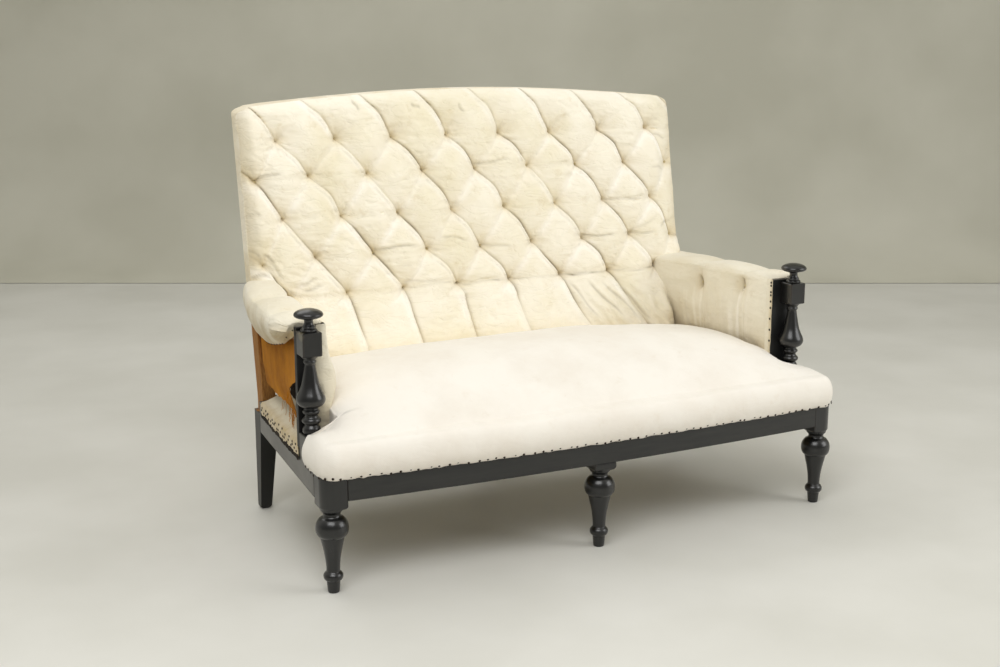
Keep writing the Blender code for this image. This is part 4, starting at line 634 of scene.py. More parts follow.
# grid of places: a counts half pitches across, r counts rows up, and folds keep to a + r or a - r
cells, pitch, spacing, rim = back["cells"], back["pitch"], back["spacing"], back["rim"]
widest = back["half"] - rim
closer = np.array([0.5768, 0.579, 0.5812, 0.5834, 0.5856, 0.5878, 0.590, 0.592, 0.594, 0.5955, 0.5967, widest])
even = np.arange(-189, 190) * pitch / 2 / cells
acrossCount = np.concatenate([-closer[::-1], even, closer]) / (pitch / 2)
upCount = np.concatenate([np.arange(-round(back["belowRows"] * cells), 4 * cells + 1),
                          4 * cells + cells * (1 - (1 - np.arange(1, 31) / 30) ** 1.5)]) / cells
a, r = np.meshgrid(acrossCount, upCount)
foldP, foldQ = (a + 1 + r) / 2, (a + 1 - r) / 2
below, above = np.clip(-r, 0, None), np.clip(r - 4, 0, None)
x = a * pitch / 2
z = rowHeight(np.minimum(r, 4)) + above * (insetTop(x) - back["rows"][-1])
lowRow = back["rows"][0]
squeeze = (lowRow - back["bottom"]) / (lowRow - rowHeight(np.array(-back["belowRows"])))
z = np.where(r < 0, lowRow + (z - lowRow) * squeeze, z)
edgeShare = np.abs(x) / x.max()
offEdge = 1 - edgeShare ** 8
slant = back["belowLean"] + 0.45 * smooth(x, 0.05, 0.45)
x = x - below * (1 - slant) * pitch / 2 * (1 - edgeShare ** 6)

# each fold swings up and to the right between its buttons, least on the left
swing = np.sin(np.pi * foldQ) ** 2 * offEdge * (1 - smooth(above, 0.6, 1)) * (1 - smooth(below, 0.1, 0.6))
amount = back["bulge"] * (0.45 + 0.55 * smooth(x, -0.45, -0.05)) + 0.07 * softNoise(0.9 * foldP, 0.9 * foldQ, 5)
x = x + swing * amount * spacing * 0.78
z = z + swing * amount * spacing * 0.626
x = x + 0.0022 * softNoise(x / 0.05, z / 0.05, 8) * offEdge
z = z + 0.0022 * softNoise(x / 0.05, z / 0.05, 9) * (1 - smooth(above, 0.5, 1))

# the outermost buttons sit a little further in than the pattern has them
x = x - np.sign(x) * 0.014 * smooth(np.abs(x), 0.520, 0.584) * (1 - smooth(np.abs(x), 0.584, widest))
z = z - 0.008 * smooth(np.abs(x), 0.530, 0.570) * (1 - smooth(np.abs(x), 0.570, widest)) * (1 - smooth(above, 0, 0.3))
# between the arms the back is narrower, so its outer columns close up
outerShare = np.clip((np.abs(x) - back["innerX"]) / (widest - back["innerX"]), 0, 1)
x = x + np.sign(x) * (halfWidth(x, z) - back["half"]) * outerShare

# the height of the stuffing is its crest less a dome, two families of folds, and a pit at each button
alongP = (foldP - np.round(foldP)) * spacing
alongQ = (foldQ - np.round(foldQ)) * spacing
buttonA, buttonR = np.round(foldP) + np.round(foldQ), np.round(foldP) - np.round(foldQ)
sideways, upwards = (a + 1 - buttonA) * pitch / 2, (r - buttonR) * back["step"]
onRow = (buttonR >= 0) & (buttonR <= 4)
away = np.where(onRow, np.hypot(sideways, upwards), 0.2)
beyond = np.maximum(np.clip(above / 0.45, 0, 1), np.clip(below / 0.45, 0, 1))
sineP, sineQ = np.abs(np.sin(np.pi * foldP)), np.abs(np.sin(np.pi * foldQ))
sineQ = sineQ + (1 - sineQ) * beyond
fade = 1 - 0.25 * smooth(above, 0.3, 1) - 0.45 * smooth(below, 0.3, 1.2)
strength = np.clip(0.74 + 0.62 * softNoise(1.7 * foldP, 1.7 * foldQ, 11), 0.22, 1.3)
foldDepth = back["fold"] * strength * bell(alongP, np.where(alongP < 0, 0.0062, 0.0125), 0.9) * fade
crease = back["crease"] * bell(alongP - 0.0005, 0.0021, 1) * sineQ ** 0.4 * np.clip(strength, 0.35, 1.3) * fade
lip = back["lip"][0] * bell(alongP + 0.0060, 0.0034) - back["lip"][1] * bell(alongP + 0.0125, 0.0026)
lip = lip * sineQ ** 0.7 * fade
softStrength = 0.75 + 0.45 * softNoise(1.3 * foldP + 9, 1.3 * foldQ, 12)
softFold = back["softFold"] * softStrength * bell(alongQ - 0.003, 0.0125, 1.4) * (1 - beyond)
# along the lowest row of buttons the cover is also drawn into a level fold
levelGap = r * back["step"] + 0.0050 * softNoise(x / 0.055, 1.5, 15)
levelStrength = np.clip(0.66 + 0.70 * softNoise(x / 0.085 + 5, 0.3, 13), 0.2, 1.2) * smooth(x, -0.36, 0.02)
levelFold = back["levelFold"] * levelStrength * bell(levelGap, np.where(levelGap > 0, 0.017, 0.0035), 1)
pit = back["pit"][0] * bell(away, 0.0150, 1) + back["pit"][1] * bell(away, 0.006)
height = back["crest"] - back["dome"] * (1 - sineP * sineQ) - foldDepth - crease + lip - softFold - levelFold - pit

# gathers run out from each button, and slack cloth ripples between neighbours in a row
bearing = np.arctan2(upwards, sideways)
turn = softNoise(buttonA * 3.7, buttonR * 5.3, 21) * np.pi
gather = np.sin(9 * bearing + turn) + 0.6 * np.sin(14 * bearing + 2 * turn)
height += back["gather"] * gather * bell(away - 0.014, 0.015) * onRow
ripple = smooth(softNoise(x / 0.075, np.round(r) * 7.1, 31), 0.05, 0.7) * (0.0034 + 0.0022 * smooth(x, 0.05, 0.40))
ripple = ripple * bell(np.abs(r - np.round(r)) * back["step"] - 0.003, 0.0034)
height -= ripple * (1 - smooth(above, 0.05, 0.3)) * (1 - smooth(below, 0.05, 0.3))
# thin level drags: narrow valleys where a stretched random surface crosses zero
for seed, depth, long, tall in back["drags"]:
    valley = (1 - np.abs(softNoise(x / long + 0.35 * z / long, z / tall, seed))) ** 7
    patchy = smooth(softNoise(x / 0.09, z / 0.07, seed + 10), -0.15, 0.5) + 0.8 * bell(away, 0.035, 1)
    height -= depth * valley * patchy
height += 0.0016 * softNoise(x / 0.034, z / 0.030, 41) + 0.0007 * softNoise(x / 0.012, z / 0.012, 42)
# slanting drags where the back meets the arm and the seat on the right
slanting = np.sin(2 * np.pi * (x * 0.80 + z * 0.60) / 0.031 + 2.0 * softNoise(x / 0.06, z / 0.05, 44))
height += 0.0044 * smooth(x, 0.10, 0.42) * smooth(below, 0.25, 0.8) * slanting
# dragLineShade marks where each drag line is painted with a dark line of shade
dragLineShade = np.zeros_like(height)
for x0, z0, x1, z1, depth in dragLines:
    # a valley along the line, shallow at its ends and a little wavy, with a lip on its upper side
    long = math.hypot(x1 - x0, z1 - z0)
    dirX, dirZ = (x1 - x0) / long, (z1 - z0) / long
    on = ((x - x0) * dirX + (z - z0) * dirZ) / long
    off = (z - z0) * dirX - (x - x0) * dirZ + 0.0022 * np.sin(7 * on + 40 * x0)
    taper = smooth(on, -0.04, 0.22) * (1 - smooth(on, 0.72, 1.04))
    height -= depth * (bell(off, 0.0030) - 0.45 * bell(off - 0.0068, 0.0036)) * taper
    dragLineShade = np.maximum(dragLineShade, bell(off, 0.0030) * taper * depth / 0.0036)
sideGap = halfWidth(x, z) - np.abs(x)
topGap = insetTop(x) + rim - z
height = height * (1 - 0.50 * smooth(x, 0.515, 0.590) * smooth(z, 0.53, 0.62))
height = np.maximum(height, (0.0135 + 0.0065 * smooth(np.abs(x), 0.576, 0.590)) * smooth(np.abs(x), 0.540, 0.558))
height += 0.0016 * softNoise(x / 0.030, z / 0.0075, 47) * np.exp(-sideGap / 0.018) * smooth(z, 0.56, 0.60)
# the edges roll back on a quarter circle
for gap in (sideGap, topGap):
    height = height * np.sqrt(1 - (1 - np.clip(gap / back["roll"], 0, 1)) ** 2)
height = height + back["lumbar"] * np.clip((lowRow - z) / 0.12, 0, 1) * smooth(sideGap, 0.0, 0.05)
front = together(x, back["plane"] + lean(z) - height, z)
# soil and painted shade: a dark fan above and round each tuft, a band along the side edges, and darker below the lowest
# row
soilAndShade = 0.60 * bell(away, 0.018, 1) * smooth(r - buttonR, -0.15, 0.25) + 0.28 * bell(away, 0.030, 1)
soilAndShade += 0.55 * bell(np.clip(sideGap, 0, None), 0.022, 1) + 0.25 * smooth(below, 0.9, 1.5)
# painted shade along each sharp fold
soilAndShade += 0.30 * bell(alongP, 0.003, 1) * strength
# painted highlights: whiter bands beside the sharp folds, along the soft folds and just below each button, where light
# from above falls
paintedHighlight = bell(alongP + 0.009, 0.008) * sineQ * fade + 0.85 * bell(alongQ, 0.011) * (1 - beyond) * sineP
paintedHighlight += 0.6 * bell(away - 0.020, 0.016) * smooth(buttonR - r, 0.0, 0.3)
paintedHighlight = np.clip(paintedHighlight * (0.75 + 0.5 * softNoise(x / 0.05, z / 0.05, 14)), 0, 1)
# painted shade: a thin dark line where two folds of it meet, along the level fold and along the drag lines
thin = bell(alongP - 0.0005, 0.0014, 1) * sineQ ** 0.3 * np.clip(0.05 + 0.9 * strength, 0, 1) * fade
thin = np.maximum(thin, bell(levelGap + 0.001, 0.0016, 1) * np.clip(levelFold / 0.0062, 0, 1))
thin = np.clip(np.maximum(thin, 0.42 * dragLineShade), 0, 1)
print("Back front face worked out", front.shape)

# the border of the front face, walked anticlockwise, and its outward direction
rows, columns = front.shape[:2]
border = rimOf(rows, columns)
edge = front.reshape(-1, 3)[border]
outward = outwardOf(edge, (0, 2), 3)
onTop = smooth(outward[:, 1], 0.35, 0.85)  # 1 along the top edge
beside = smooth(edge[:, 2], *back["shoulder"]) * (1 - onTop)  # 1 down the sides, above the arms
wrapped = onTop + beside


def mixed(atTop, elsewhere):
    # one value along the top edge, another round the rest
    return onTop * atTop + (1 - onTop) * elsewhere


def skirtRing(out, y):
    # the border moved outwards, at a depth that follows the lean
    across, up = (edge[:, axis] + out * outward[:, k] for k, axis in enumerate((0, 2)))
    return together(across, y + lean(up), up)


# the cover wraps round the frame: out over the rim, back along the side, in behind and up against the wood
wrap = {"inner": 0.2222, "side": 0.2192, "rear": 0.2600, "corner": (0.006, 0.016), "tack": 0.8985, "tail": 0.0420,
        "woodBack": (0.24678, 0.25078), "woodOut": (0.0196, 0.0047), "woodFront": (0.2261, 0.2078), "over": 0.0014}
wrappedShare, behind = np.clip(wrapped, 0, 1), wrapped > 0.5
frontY = edge[:, 1] - lean(edge[:, 2])
sideY = np.minimum(frontY + 0.004, wrap["side"])
rearY = wrap["inner"] + (wrap["rear"] - wrap["inner"]) * wrappedShare
pull = 0.0013 * softNoise(edge[:, 2] / 0.011, edge[:, 0] / 0.020, 51) * wrappedShare
corner = wrap["corner"][0] * onTop + wrap["corner"][1] * beside
skirt = [skirtRing(rim * math.sin(share * math.pi / 2) + pull * share, frontY + (sideY - frontY) * share)
         for share in (0.3, 0.65, 1.0)]
skirt += [skirtRing(rim + pull * (1 - share), sideY + (rearY - corner - sideY) * share)
          for share in (0.25, 0.5, 0.75, 1.0)]
skirt += [skirtRing(rim - corner * (1 - np.cos(turn)), rearY - corner + corner * np.sin(turn))
          for turn in np.radians((30, 60, 90))]
tail = wrappedShare * mixed(edge[:, 2] + rim - wrap["tack"], wrap["tail"])
tail += 0.0030 * (1 + softNoise(edge[:, 0] / 0.020, edge[:, 2] / 0.020, 52))
woodBack, woodOut, woodFront = (mixed(*wrap[key]) for key in ("woodBack", "woodOut", "woodFront"))
overWood = np.where(behind, woodBack + wrap["over"], rearY) - rearY
skirt += [skirtRing(rim - corner - (tail - corner) * share, rearY + overWood * share)
          for share in (0.3, 0.6, 0.85, 1.0)]
skirt += [skirtRing(rim - tail + 0.0004, np.where(behind, woodBack, rearY)),
          skirtRing(rim - np.where(behind, woodOut, tail + 0.001), np.where(behind, woodBack - 0.0002, rearY)),
          skirtRing(rim - np.where(behind, woodOut, tail + 0.002), np.where(behind, woodFront, rearY)),
          skirtRing(np.where(onTop > 0.5, rim - 0.030, rim - 0.0445 * beside - 0.004),
                    np.full(len(edge), wrap["inner"]))]
ringCount, loop = len(skirt), len(border)
number = np.concatenate([border[None], rows * columns + np.arange(ringCount * loop).reshape(ringCount, loop)])
# each square of the front is split along its fold, so that the folds stay crisp
squares = gridFaces(rows, columns)
triangles = np.concatenate([squares[:, [1, 2, 3]], squares[:, [1, 3, 0]]])
# soil with painted shade on the cover's walls round the frame
wallSoilAndShade = np.tile(0.35 + 0.25 * softNoise(edge[:, 2] / 0.03, edge[:, 0] / 0.03, 53), ringCount)
plain = np.zeros(ringCount * loop)
buttoned = addPiece(
    "buttoned_back", [(np.concatenate([front.reshape(-1, 3), *skirt]), [triangles, loopWall(number), number[-1:]])],
    backCalico, ("back_pad",), back["sharp"],
    threads=np.concatenate([front[..., [0, 2]].reshape(-1, 2), wallThreads(edge, ringCount, 0.004)]),
    marks={"soilAndShade": np.clip(np.concatenate([soilAndShade.ravel(), wallSoilAndShade]), 0, 1),
           "paintedHighlight": np.concatenate([paintedHighlight.ravel(), plain]),
           "crease": np.concatenate([thin.ravel(), plain])})
print("Buttoned back made")

buttons = {"radius": 0.0036, "tall": 0.0020, "proud": 0.0002, "sides": 12}
for row, level in enumerate(back["rows"]):
    count = 8 if row % 2 == 0 else 9
    places = pitch * (np.arange(count) - (count - 1) / 2)
    outermost = np.abs(places) > 0.58
    places = np.where(outermost, 0.976 * places, places)
    nearest = [np.hypot(front[..., 0] - px, front[..., 2] - level + 0.008 * atEnd).argmin()
               for px, atEnd in zip(places, outermost)]
    facing = np.tile([0.0, -1.0, sofa["rake"]], (count, 1))
    heads = domes(front.reshape(-1, 3)[nearest] + facing * buttons["proud"], facing, buttons["radius"], buttons["tall"],
                  buttons["sides"])
    addPiece(f"covered_buttons_{row + 1}", [heads], tieCotton, (f"button_row_{row + 1}",))
print("Back buttons made")


# The sprung seat

seat = {
    "columns": 220, "rows": 110, "closer": (1.25, 1.15),  # powers that draw the grid's lines together
    "frontHalf": 0.6530, "armHalf": 0.5735, "rearHalf": 0.5450,
    "rear": 0.1752, "rearInset": 0.012, "crown": 0.418, "rearHeight": 0.374, "sideHeight": 0.340,
    "edgeHeight": 0.278, "roll": 0.042, "inset": 0.026, "tight": 0.004, "corner": 0.014,
    "steepest": 0.85,  # the slope, in radians, past which the turn down doesn't start
    "crownPower": 2.3, "sidePower": (2.9, 4.0), "sideReach": 0.6585,  # how the top falls from its crown
    "cover": 0.0045, "bulge": 0.0085, "lower": 0.2470, "turnUnder": 0.0028,
    "sideFoot": (0.2830, 0.2815), "foot": 0.2800, "base": 0.2785, "postFoot": 0.3060, "sharp": 70,
}
s, t = np.meshgrid(np.linspace(-1, 1, seat["columns"] + 1), np.linspace(0, 1, seat["rows"] + 1))
s, t = np.sign(s) * (1 - (1 - np.abs(s)) ** seat["closer"][0]), t ** seat["closer"][1]


def seatHalf(y):
    # half width: wide in front of the arm posts, then narrow between the boards and the inner arms
    past = smooth(y, sofa["postY"] - 0.0300, sofa["postY"] - 0.0190)
    wide = seat["armHalf"] + (seat["frontHalf"] - seat["armHalf"]) * (1 - past)
    return wide - (seat["armHalf"] - seat["rearHalf"]) * smooth(y, sofa["boardBack"], sofa["boardBack"] + 0.05)


def sideInset(y):
    # the edge is rolled at the front, and tight against the boards and arms
    eased = smooth(y, sofa["postY"] - 0.036, sofa["postY"] - 0.022)
    return seat["inset"] - (seat["inset"] - seat["tight"]) * eased


def springDome(x, y):
    # bulge over the springs: one less the fourth power of the share across, times the same along
    low, high = sofa["webbedY"]
    along = 2 * (y - low) / (high - low) - 1
    return sofa["domeRise"] * np.clip(1 - (x / sofa["webbedX"]) ** 4, 0, 1) * np.clip(1 - along ** 4, 0, 1)


reach, corner = seat["frontHalf"] - seat["inset"], seat["corner"]
frontInset = frontFace(s * reach) - seat["cover"] - seat["bulge"] + seat["inset"]
over = np.clip(np.abs(s) * reach - (reach - corner), 0, corner)
frontInset = frontInset + corner - np.sqrt(corner ** 2 - over ** 2)
y = frontInset + t * (seat["rear"] - seat["rearInset"] - frontInset)
x = s * (seatHalf(y) - sideInset(y))
middle, deep = (seat["rear"] + sofa["frontAxis"]) / 2, (seat["rear"] - sofa["frontAxis"]) / 2
along, acrossShare = (y - middle) / deep, np.minimum(1.0, np.abs(x) / seat["sideReach"])
edgeTop = seat["edgeHeight"] + seat["roll"]
# the top falls from its crown by a power of the distance, forwards and backwards and then to the sides
level = np.where(along > 0, seat["rearHeight"], edgeTop)
z = seat["crown"] - (seat["crown"] - level) * np.minimum(1.0, np.abs(along)) ** seat["crownPower"]
sideLevel = seat["sideHeight"] - (seat["sideHeight"] - edgeTop) * np.clip(-along, 0, 1)
z = z - (z - sideLevel) * acrossShare ** np.where(x > 0, *seat["sidePower"])
# round the arm posts the cover is drawn down to the post's foot
postGap = np.hypot(np.clip(sofa["postX"] - 0.020 - np.abs(x), 0, None) * 1.5,
                   np.clip(sofa["postY"] - 0.026 - y, 0, None))
drawn = np.where(x < 0, 0.62, 0.34) * bell(postGap, np.where(x < 0, 0.030, 0.042), 1.5) * smooth(-y, 0.152, 0.212)
z = z - np.clip(z - seat["postFoot"], 0, None) * drawn
# broad hollows of a used seat, then slight slack ripples that run back from the tacked front edge
z = z + 0.0030 * softNoise(x / 0.17, y / 0.13, 61) + 0.0011 * softNoise(x / 0.060, y / 0.050, 62)
z = z + 0.0007 * softNoise(x / 0.022, y / 0.085, 63) * (1 - smooth(y, -0.318, -0.118))
top = together(x, y, z)
rows, columns = top.shape[:2]
border = rimOf(rows, columns)
edge = top.reshape(-1, 3)[border]
edgeZ = edge[:, 2]
outward = outwardOf(edge, (0, 1), 2)
hanging = 1 - smooth(edge[:, 1], sofa["postY"] - 0.034, sofa["postY"] - 0.024)  # 1 where the cover hangs over the rails
overRail = hanging > 0.5
lowEdge = seat["lower"] + 0.0016 * softNoise(edge[:, 0] / 0.011, edge[:, 1] / 0.011, 64)


def seatRing(out, height):
    # the border moved outwards, at a height
    return together(edge[:, 0] + out * outward[:, 0], edge[:, 1] + out * outward[:, 1], height)


edgeInset = np.where(edge[:, 1] > seat["rear"] - 0.013, seat["rearInset"], sideInset(edge[:, 1]))
rollLow = np.where(overRail, seat["edgeHeight"], edgeZ - edgeInset * 0.9)
# the turn down starts at the slope that the top already has at the edge, evened out along the edge
inner = top[np.clip(border // columns, 1, rows - 2), np.clip(border % columns, 1, columns - 2)]
begin = np.arctan2(inner[:, 2] - edgeZ, np.hypot(*(inner - edge)[:, :2].T))
begin = np.clip(sum(np.roll(begin, shift) for shift in range(-3, 4)) / 7, 0, seat["steepest"]) * hanging
skirt = []
for share in np.linspace(0.12, 1.0, 9):
    angle = begin + (np.pi / 2 - begin) * share
    skirt.append(seatRing(edgeInset * (np.sin(angle) - np.sin(begin)) / (1 - np.sin(begin)),
                          edgeZ + (rollLow - edgeZ) * (np.cos(begin) - np.cos(angle)) / np.cos(begin)))
tight = 0.0008 * softNoise(edge[:, 0] / 0.016, edge[:, 1] / 0.016, 65)
# below its fullest line the cover draws in to the tacks
for share in (0.2, 0.4, 0.6, 0.8, 0.92, 1.0):
    draw = seat["bulge"] * (1 - np.cos(share * np.pi / 2) ** 0.8) * hanging
    skirt.append(seatRing(edgeInset - draw + tight * math.sin(math.pi * share),
                          rollLow + (np.where(overRail, lowEdge, seat["sideFoot"][0]) - rollLow) * share))
under = edgeInset - seat["bulge"] * hanging - seat["turnUnder"]
skirt.append(seatRing(under, np.where(overRail, lowEdge + 0.0004, seat["sideFoot"][1])))
skirt.append(seatRing(under, np.full(len(edge), seat["foot"])))
bottom = together(x, y, seat["base"] + springDome(x, y))
ringCount, loop, first = len(skirt), len(border), rows * columns
lastGrid = first + ringCount * loop
number = np.vstack([border, first + np.arange(ringCount * loop).reshape(ringCount, loop), lastGrid + border])
grid = gridFaces(rows, columns)
points = np.concatenate([top.reshape(-1, 3), *skirt, bottom.reshape(-1, 3)])
flatPlaces = top[..., :2].reshape(-1, 2)
# the turned edge darkens towards the tacks
soilAndShade = np.concatenate([np.zeros(first), np.repeat(np.linspace(0, 0.35, ringCount), loop), np.zeros(first)])
cushion = addPiece("sprung_seat", [(points, [grid, loopWall(number), grid[:, ::-1] + lastGrid])], seatCalico,
                   ("seat_pad",), seat["sharp"],
                   threads=np.concatenate([flatPlaces, wallThreads(edge, ringCount, 0.005), flatPlaces]),
                   marks={"soilAndShade": soilAndShade})
seatSkirt, seatEdge = skirt, edge
print("Seat made")


# The padded arms

arm = {
    "stations": 150, "sectionSteps": 9,
    "buttons": (0.235, 0.620), "tieLevel": (0.5104, -0.0442),  # the ties' height, and its slope along the arm
    "swell": 0.041, "rise": {-1: 0.0235, 1: 0.0165}, "belly": 0.024, "panelLow": 0.333, "railWidth": 0.036,
    "sag": 0.048, "lift": 0.034, "pinch": (0.017, 0.0105), "overhang": {-1: (0.45, 0.018), 1: (0.55, 0.046)},
    "drops": (0.0, 0.06, 0.15, 0.25, 0.36, 0.48, 0.60, 0.72, 0.85, 1.0),  # places down the inner face
    "pastBoard": (0.0235, 0.402, 0.055),  # how far the left arm swells past its board, how high and how tall
    "streak": 0.0019, "pleat": (0.0026, 0.066), "fold": (0.0115, 0.0080, 0.0050),  # depths, and widths as shares
    "seam": (44, 2.6), "pucker": (0.0024, 0.13, 6.5), "forward": 0.0165,  # on the roll, counted round its section
    "button": (0.0036, 0.0018, 12), "gap": 0.0003, "sharp": 70,
}
armEnd = sofa["postFront"] + lean(sofa["armRailLow"]) - arm["gap"]
innerFront, innerRear = sofa["boardInner"], sofa["stileIn"] - 0.0048
railFront = sofa["postX"] + arm["railWidth"] / 2
low, high = sofa["armRailLow"], sofa["armRailTop"]


def armSkin(side, station):
    # rings round the arm: a curve through places set by the rail, the swell and the inner belly
    share = station[:, None]
    full = (0.22 + 0.78 * np.sqrt(1 - np.clip(0.95 - share / 0.22, 0, 1) ** 2)) * (1 - 0.40 * smooth(share, 0.70, 1.0))
    outer = railFront + share * (sofa["stileOut"] - railFront)
    rail = outer - arm["railWidth"]
    plane = innerFront + share * (innerRear - innerFront)
    swell = arm["swell"] * full
    rise = arm["rise"][side] * (0.42 + 0.58 * smooth(share, 0.0, 0.14))
    rise = rise * (1 - (0.04 + 0.20 * side) * smooth(share, 0.62, 0.95))
    ends = np.sin(np.pi * np.clip(share, 0, 1)) ** 0.5
    spread = (arm["buttons"][1] - arm["buttons"][0]) / 2
    pinch = np.maximum(*(np.clip(1 - np.abs(share - tuft) / spread, 0, 1) ** 2.2 for tuft in arm["buttons"]))
    drops = np.array(arm["drops"])[None]
    fall = high - drops * (high - arm["panelLow"])
    belly = np.sin(np.pi * (0.25 + 0.70 * drops)) if side > 0 else np.sin(np.pi * (0.11 + 0.84 * drops))
    tied = arm["tieLevel"][0] + arm["tieLevel"][1] * share
    near = bell(fall - tied, 0.040) + 0.45 * bell(fall - 0.44, 0.07)
    # towards the back the inner face leans in over the seat
    begin, overhang = arm["overhang"][side]
    leaning = smooth(share, begin, 1.0) * overhang * smooth(fall, 0.34, 0.53)
    face = plane - arm["belly"] * belly * ends - leaning + arm["pinch"][0] * pinch * near
    if side < 0:
        # at the left arm's front the stuffing swells past the board
        out, height, tall = arm["pastBoard"]
        face = face - out * bell(fall - height, tall) * (1 - smooth(share, 0.03, 0.32))
    sag = arm["sag"] * smooth(share, -0.10, 0.60) * (1 - 0.10 * smooth(share, 0.8, 1))
    lift = arm["lift"] * (1 - smooth(share, -0.02, 0.17))
    rise = rise - arm["pinch"][1] * pinch
    hem = low + 0.55 * lift - 0.004 - 0.50 * sag + 0.0022 * softNoise(share * 26, 3.3, 71)
    # from the hem out round the roll, over its top and down the inner face
    skin = [(outer + 0.0006, hem + 0.0006), (outer + 0.18 * swell, low - 0.003 + lift - 0.95 * sag),
            (outer + 0.52 * swell, low + 0.002 + 0.8 * lift - 0.86 * sag),
            (outer + 0.85 * swell, low + 0.014 + 0.4 * lift - 0.64 * sag),
            (outer + swell, high - 0.006 - 0.24 * sag), (outer + 0.90 * swell, high + 0.38 * rise),
            (outer + 0.56 * swell, high + 0.80 * rise), (outer + 0.08 * swell, high + 0.98 * rise),
            ((outer + rail) / 2, high + rise), (rail - 0.004, high + rise),
            ((rail + face[:, :1]) / 2 - 0.001, high + 0.86 * rise), (face[:, :1] + 0.0055, high + 0.48 * rise)]
    skin += [(face[:, k:k + 1], fall[:, k:k + 1] + 0 * share) for k in range(drops.shape[1])]
    return np.stack([np.concatenate(pair, 1) for pair in skin], 1), outer[:, 0], rail[:, 0], plane[:, 0]


armPieces = {}
for side, label in ((-1, "left"), (1, "right")):
    station = np.linspace(0, 1, arm["stations"])
    controls, outer, rail, plane = armSkin(side, station)
    skin = curveThrough(controls, arm["sectionSteps"])
    count = skin.shape[1]
    around = np.arange(count)[None]
    aroundShare = around / count
    share = np.broadcast_to(station[:, None], skin.shape[:2])
    level = skin[..., 1]
    start = sofa["boardBack"] + arm["gap"]
    y = start + share * (sofa["postFront"] + lean(level) - arm["gap"] - start)
    # gathers: fine pleats that fall from the two buttons, and slack ripples along the inner face
    innerPart = smooth(aroundShare, 0.50, 0.60)
    ripples = 0.0016 * softNoise(y / 0.011 + side * 7, level / 0.10, 72)
    ripples = ripples + 0.0022 * softNoise(y / 0.021 + side, level / 0.14, 79)
    pull = sum(bell(share - tuft, 0.05) for tuft in arm["buttons"])
    drop = arm["tieLevel"][0] + arm["tieLevel"][1] * share - level
    deep, pitch = arm["pleat"]
    pleats = -deep * np.cos(2 * np.pi * (share - 0.30) / pitch) * pull * smooth(0.53 - level, 0.0, 0.05)
    streak = softNoise(y / 0.0048 + side * 3, level / 0.10, 76)
    gathered = sum(bell(share - tuft - 0.02, 0.085) for tuft in arm["buttons"]) * smooth(drop, 0.004, 0.030)
    ripples = ripples * smooth(0.50 - level, -0.02, 0.08) - arm["streak"] * streak * gathered
    deep, wide, thin = arm["fold"]
    fold, paintedFoldShade = 0.0, 0.0
    for tuft, way in zip(arm["buttons"], (1.0, -1.0)):
        # a fold bends round each button, and below it a slack one hangs; a painted shade line follows each fold
        line = tuft + 0.006 * way * drop / 0.1
        arc = line + 0.016 * (np.clip(drop, 0, None) / 0.022) ** 2 + 0.004 * (np.clip(-drop, 0, None) / 0.022) ** 2
        stroke = bell(drop + 0.002, 0.016, 4)
        fold = fold + deep * bell(share - arc, wide, 1) * stroke
        paintedFoldShade = paintedFoldShade + bell(share - arc, thin, 1) * stroke
        fold = fold + 0.0034 * bell(share - line - 0.012, 0.016, 1) * smooth(drop, 0.0, 0.04)
    lump = 0.0016 * softNoise(y / 0.045 + side, around / 13.0, 73) + 0.0006 * softNoise(y / 0.014, around / 4.0, 74)
    x = skin[..., 0] + innerPart * (ripples + pleats + fold) + lump * np.where(aroundShare > 0.45, 1, -1)
    level = level + lump * bell(aroundShare - 0.36, 0.12)
    # a shallow seam runs along the roll, and its front end is puckered towards the tacks
    middle, width = arm["seam"]
    x = x - 0.0008 * bell(around - middle, width) * (1 - innerPart) * smooth(share, 0.02, 0.15)
    deep, reach, pitch = arm["pucker"]
    pucker = np.sin(2 * np.pi * (around / pitch + 1.3 * softNoise(around / 9.0, share * 4, 78)))
    x = x - deep * pucker * bell(share, reach) * smooth(around, 4, 12) * (1 - smooth(around, 42, 60))
    # over the board the top of the roll comes forward to the post
    inboard = smooth(sofa["postX"] + 0.012 - x, 0.0, 0.016)
    y = y - arm["forward"] * smooth(level, 0.5320, 0.5368) * inboard * (1 - smooth(share, 0.0, 0.10))
    # the lining runs up the panel, out under the rail and round it
    lining = [(plane + 0.0040, arm["panelLow"]), (plane + 0.0040, low - 0.0075), (rail - 0.0006, low),
              (rail - 0.0006, high + 0.0006), (outer + 0.0006, high + 0.0006)]
    insideZ = np.array([place[1] for place in lining])
    rings = np.empty((len(station), count + len(lining), 3))
    rings[:, :count] = together(side * x, y, level)
    rings[:, count:, 0] = side * together(*(place[0] for place in lining))
    rings[:, count:, 1] = start + station[:, None] * (sofa["postFront"] + lean(insideZ) - arm["gap"] - start)
    rings[:, count:, 2] = insideZ
    wide = rings.shape[1]
    lengths = np.concatenate([[0], np.cumsum(np.linalg.norm(np.diff(rings[len(station) // 2], axis=0), axis=1))])
    threads = together(rings[..., 1], np.broadcast_to(lengths, rings.shape[:2])).reshape(-1, 2)
    # darker along the panel's foot, round the hem and the ties, and under the roll, where it is soil and painted shade
    underRollSoilAndShade = (0.75 + 0.25 * (1 - smooth(share, 0.1, 0.6))) * smooth(0.532 - level, -0.010, 0.030) * (1 - innerPart)
    armSoilAndShade = 0.55 * smooth(0.375 - level, -0.02, 0.03) + 0.6 * np.exp(-around / 5.0)
    armSoilAndShade = armSoilAndShade + underRollSoilAndShade * (0.7 + 0.5 * softNoise(y / 0.03, level / 0.03, 77))
    armSoilAndShade = armSoilAndShade + innerPart * (0.5 * pull * bell(drop, 0.03) + 0.4 * smooth(share, 0.93, 1.0)
                                   + 0.05 + 0.23 * smooth(0.48 - level, 0.0, 0.10))
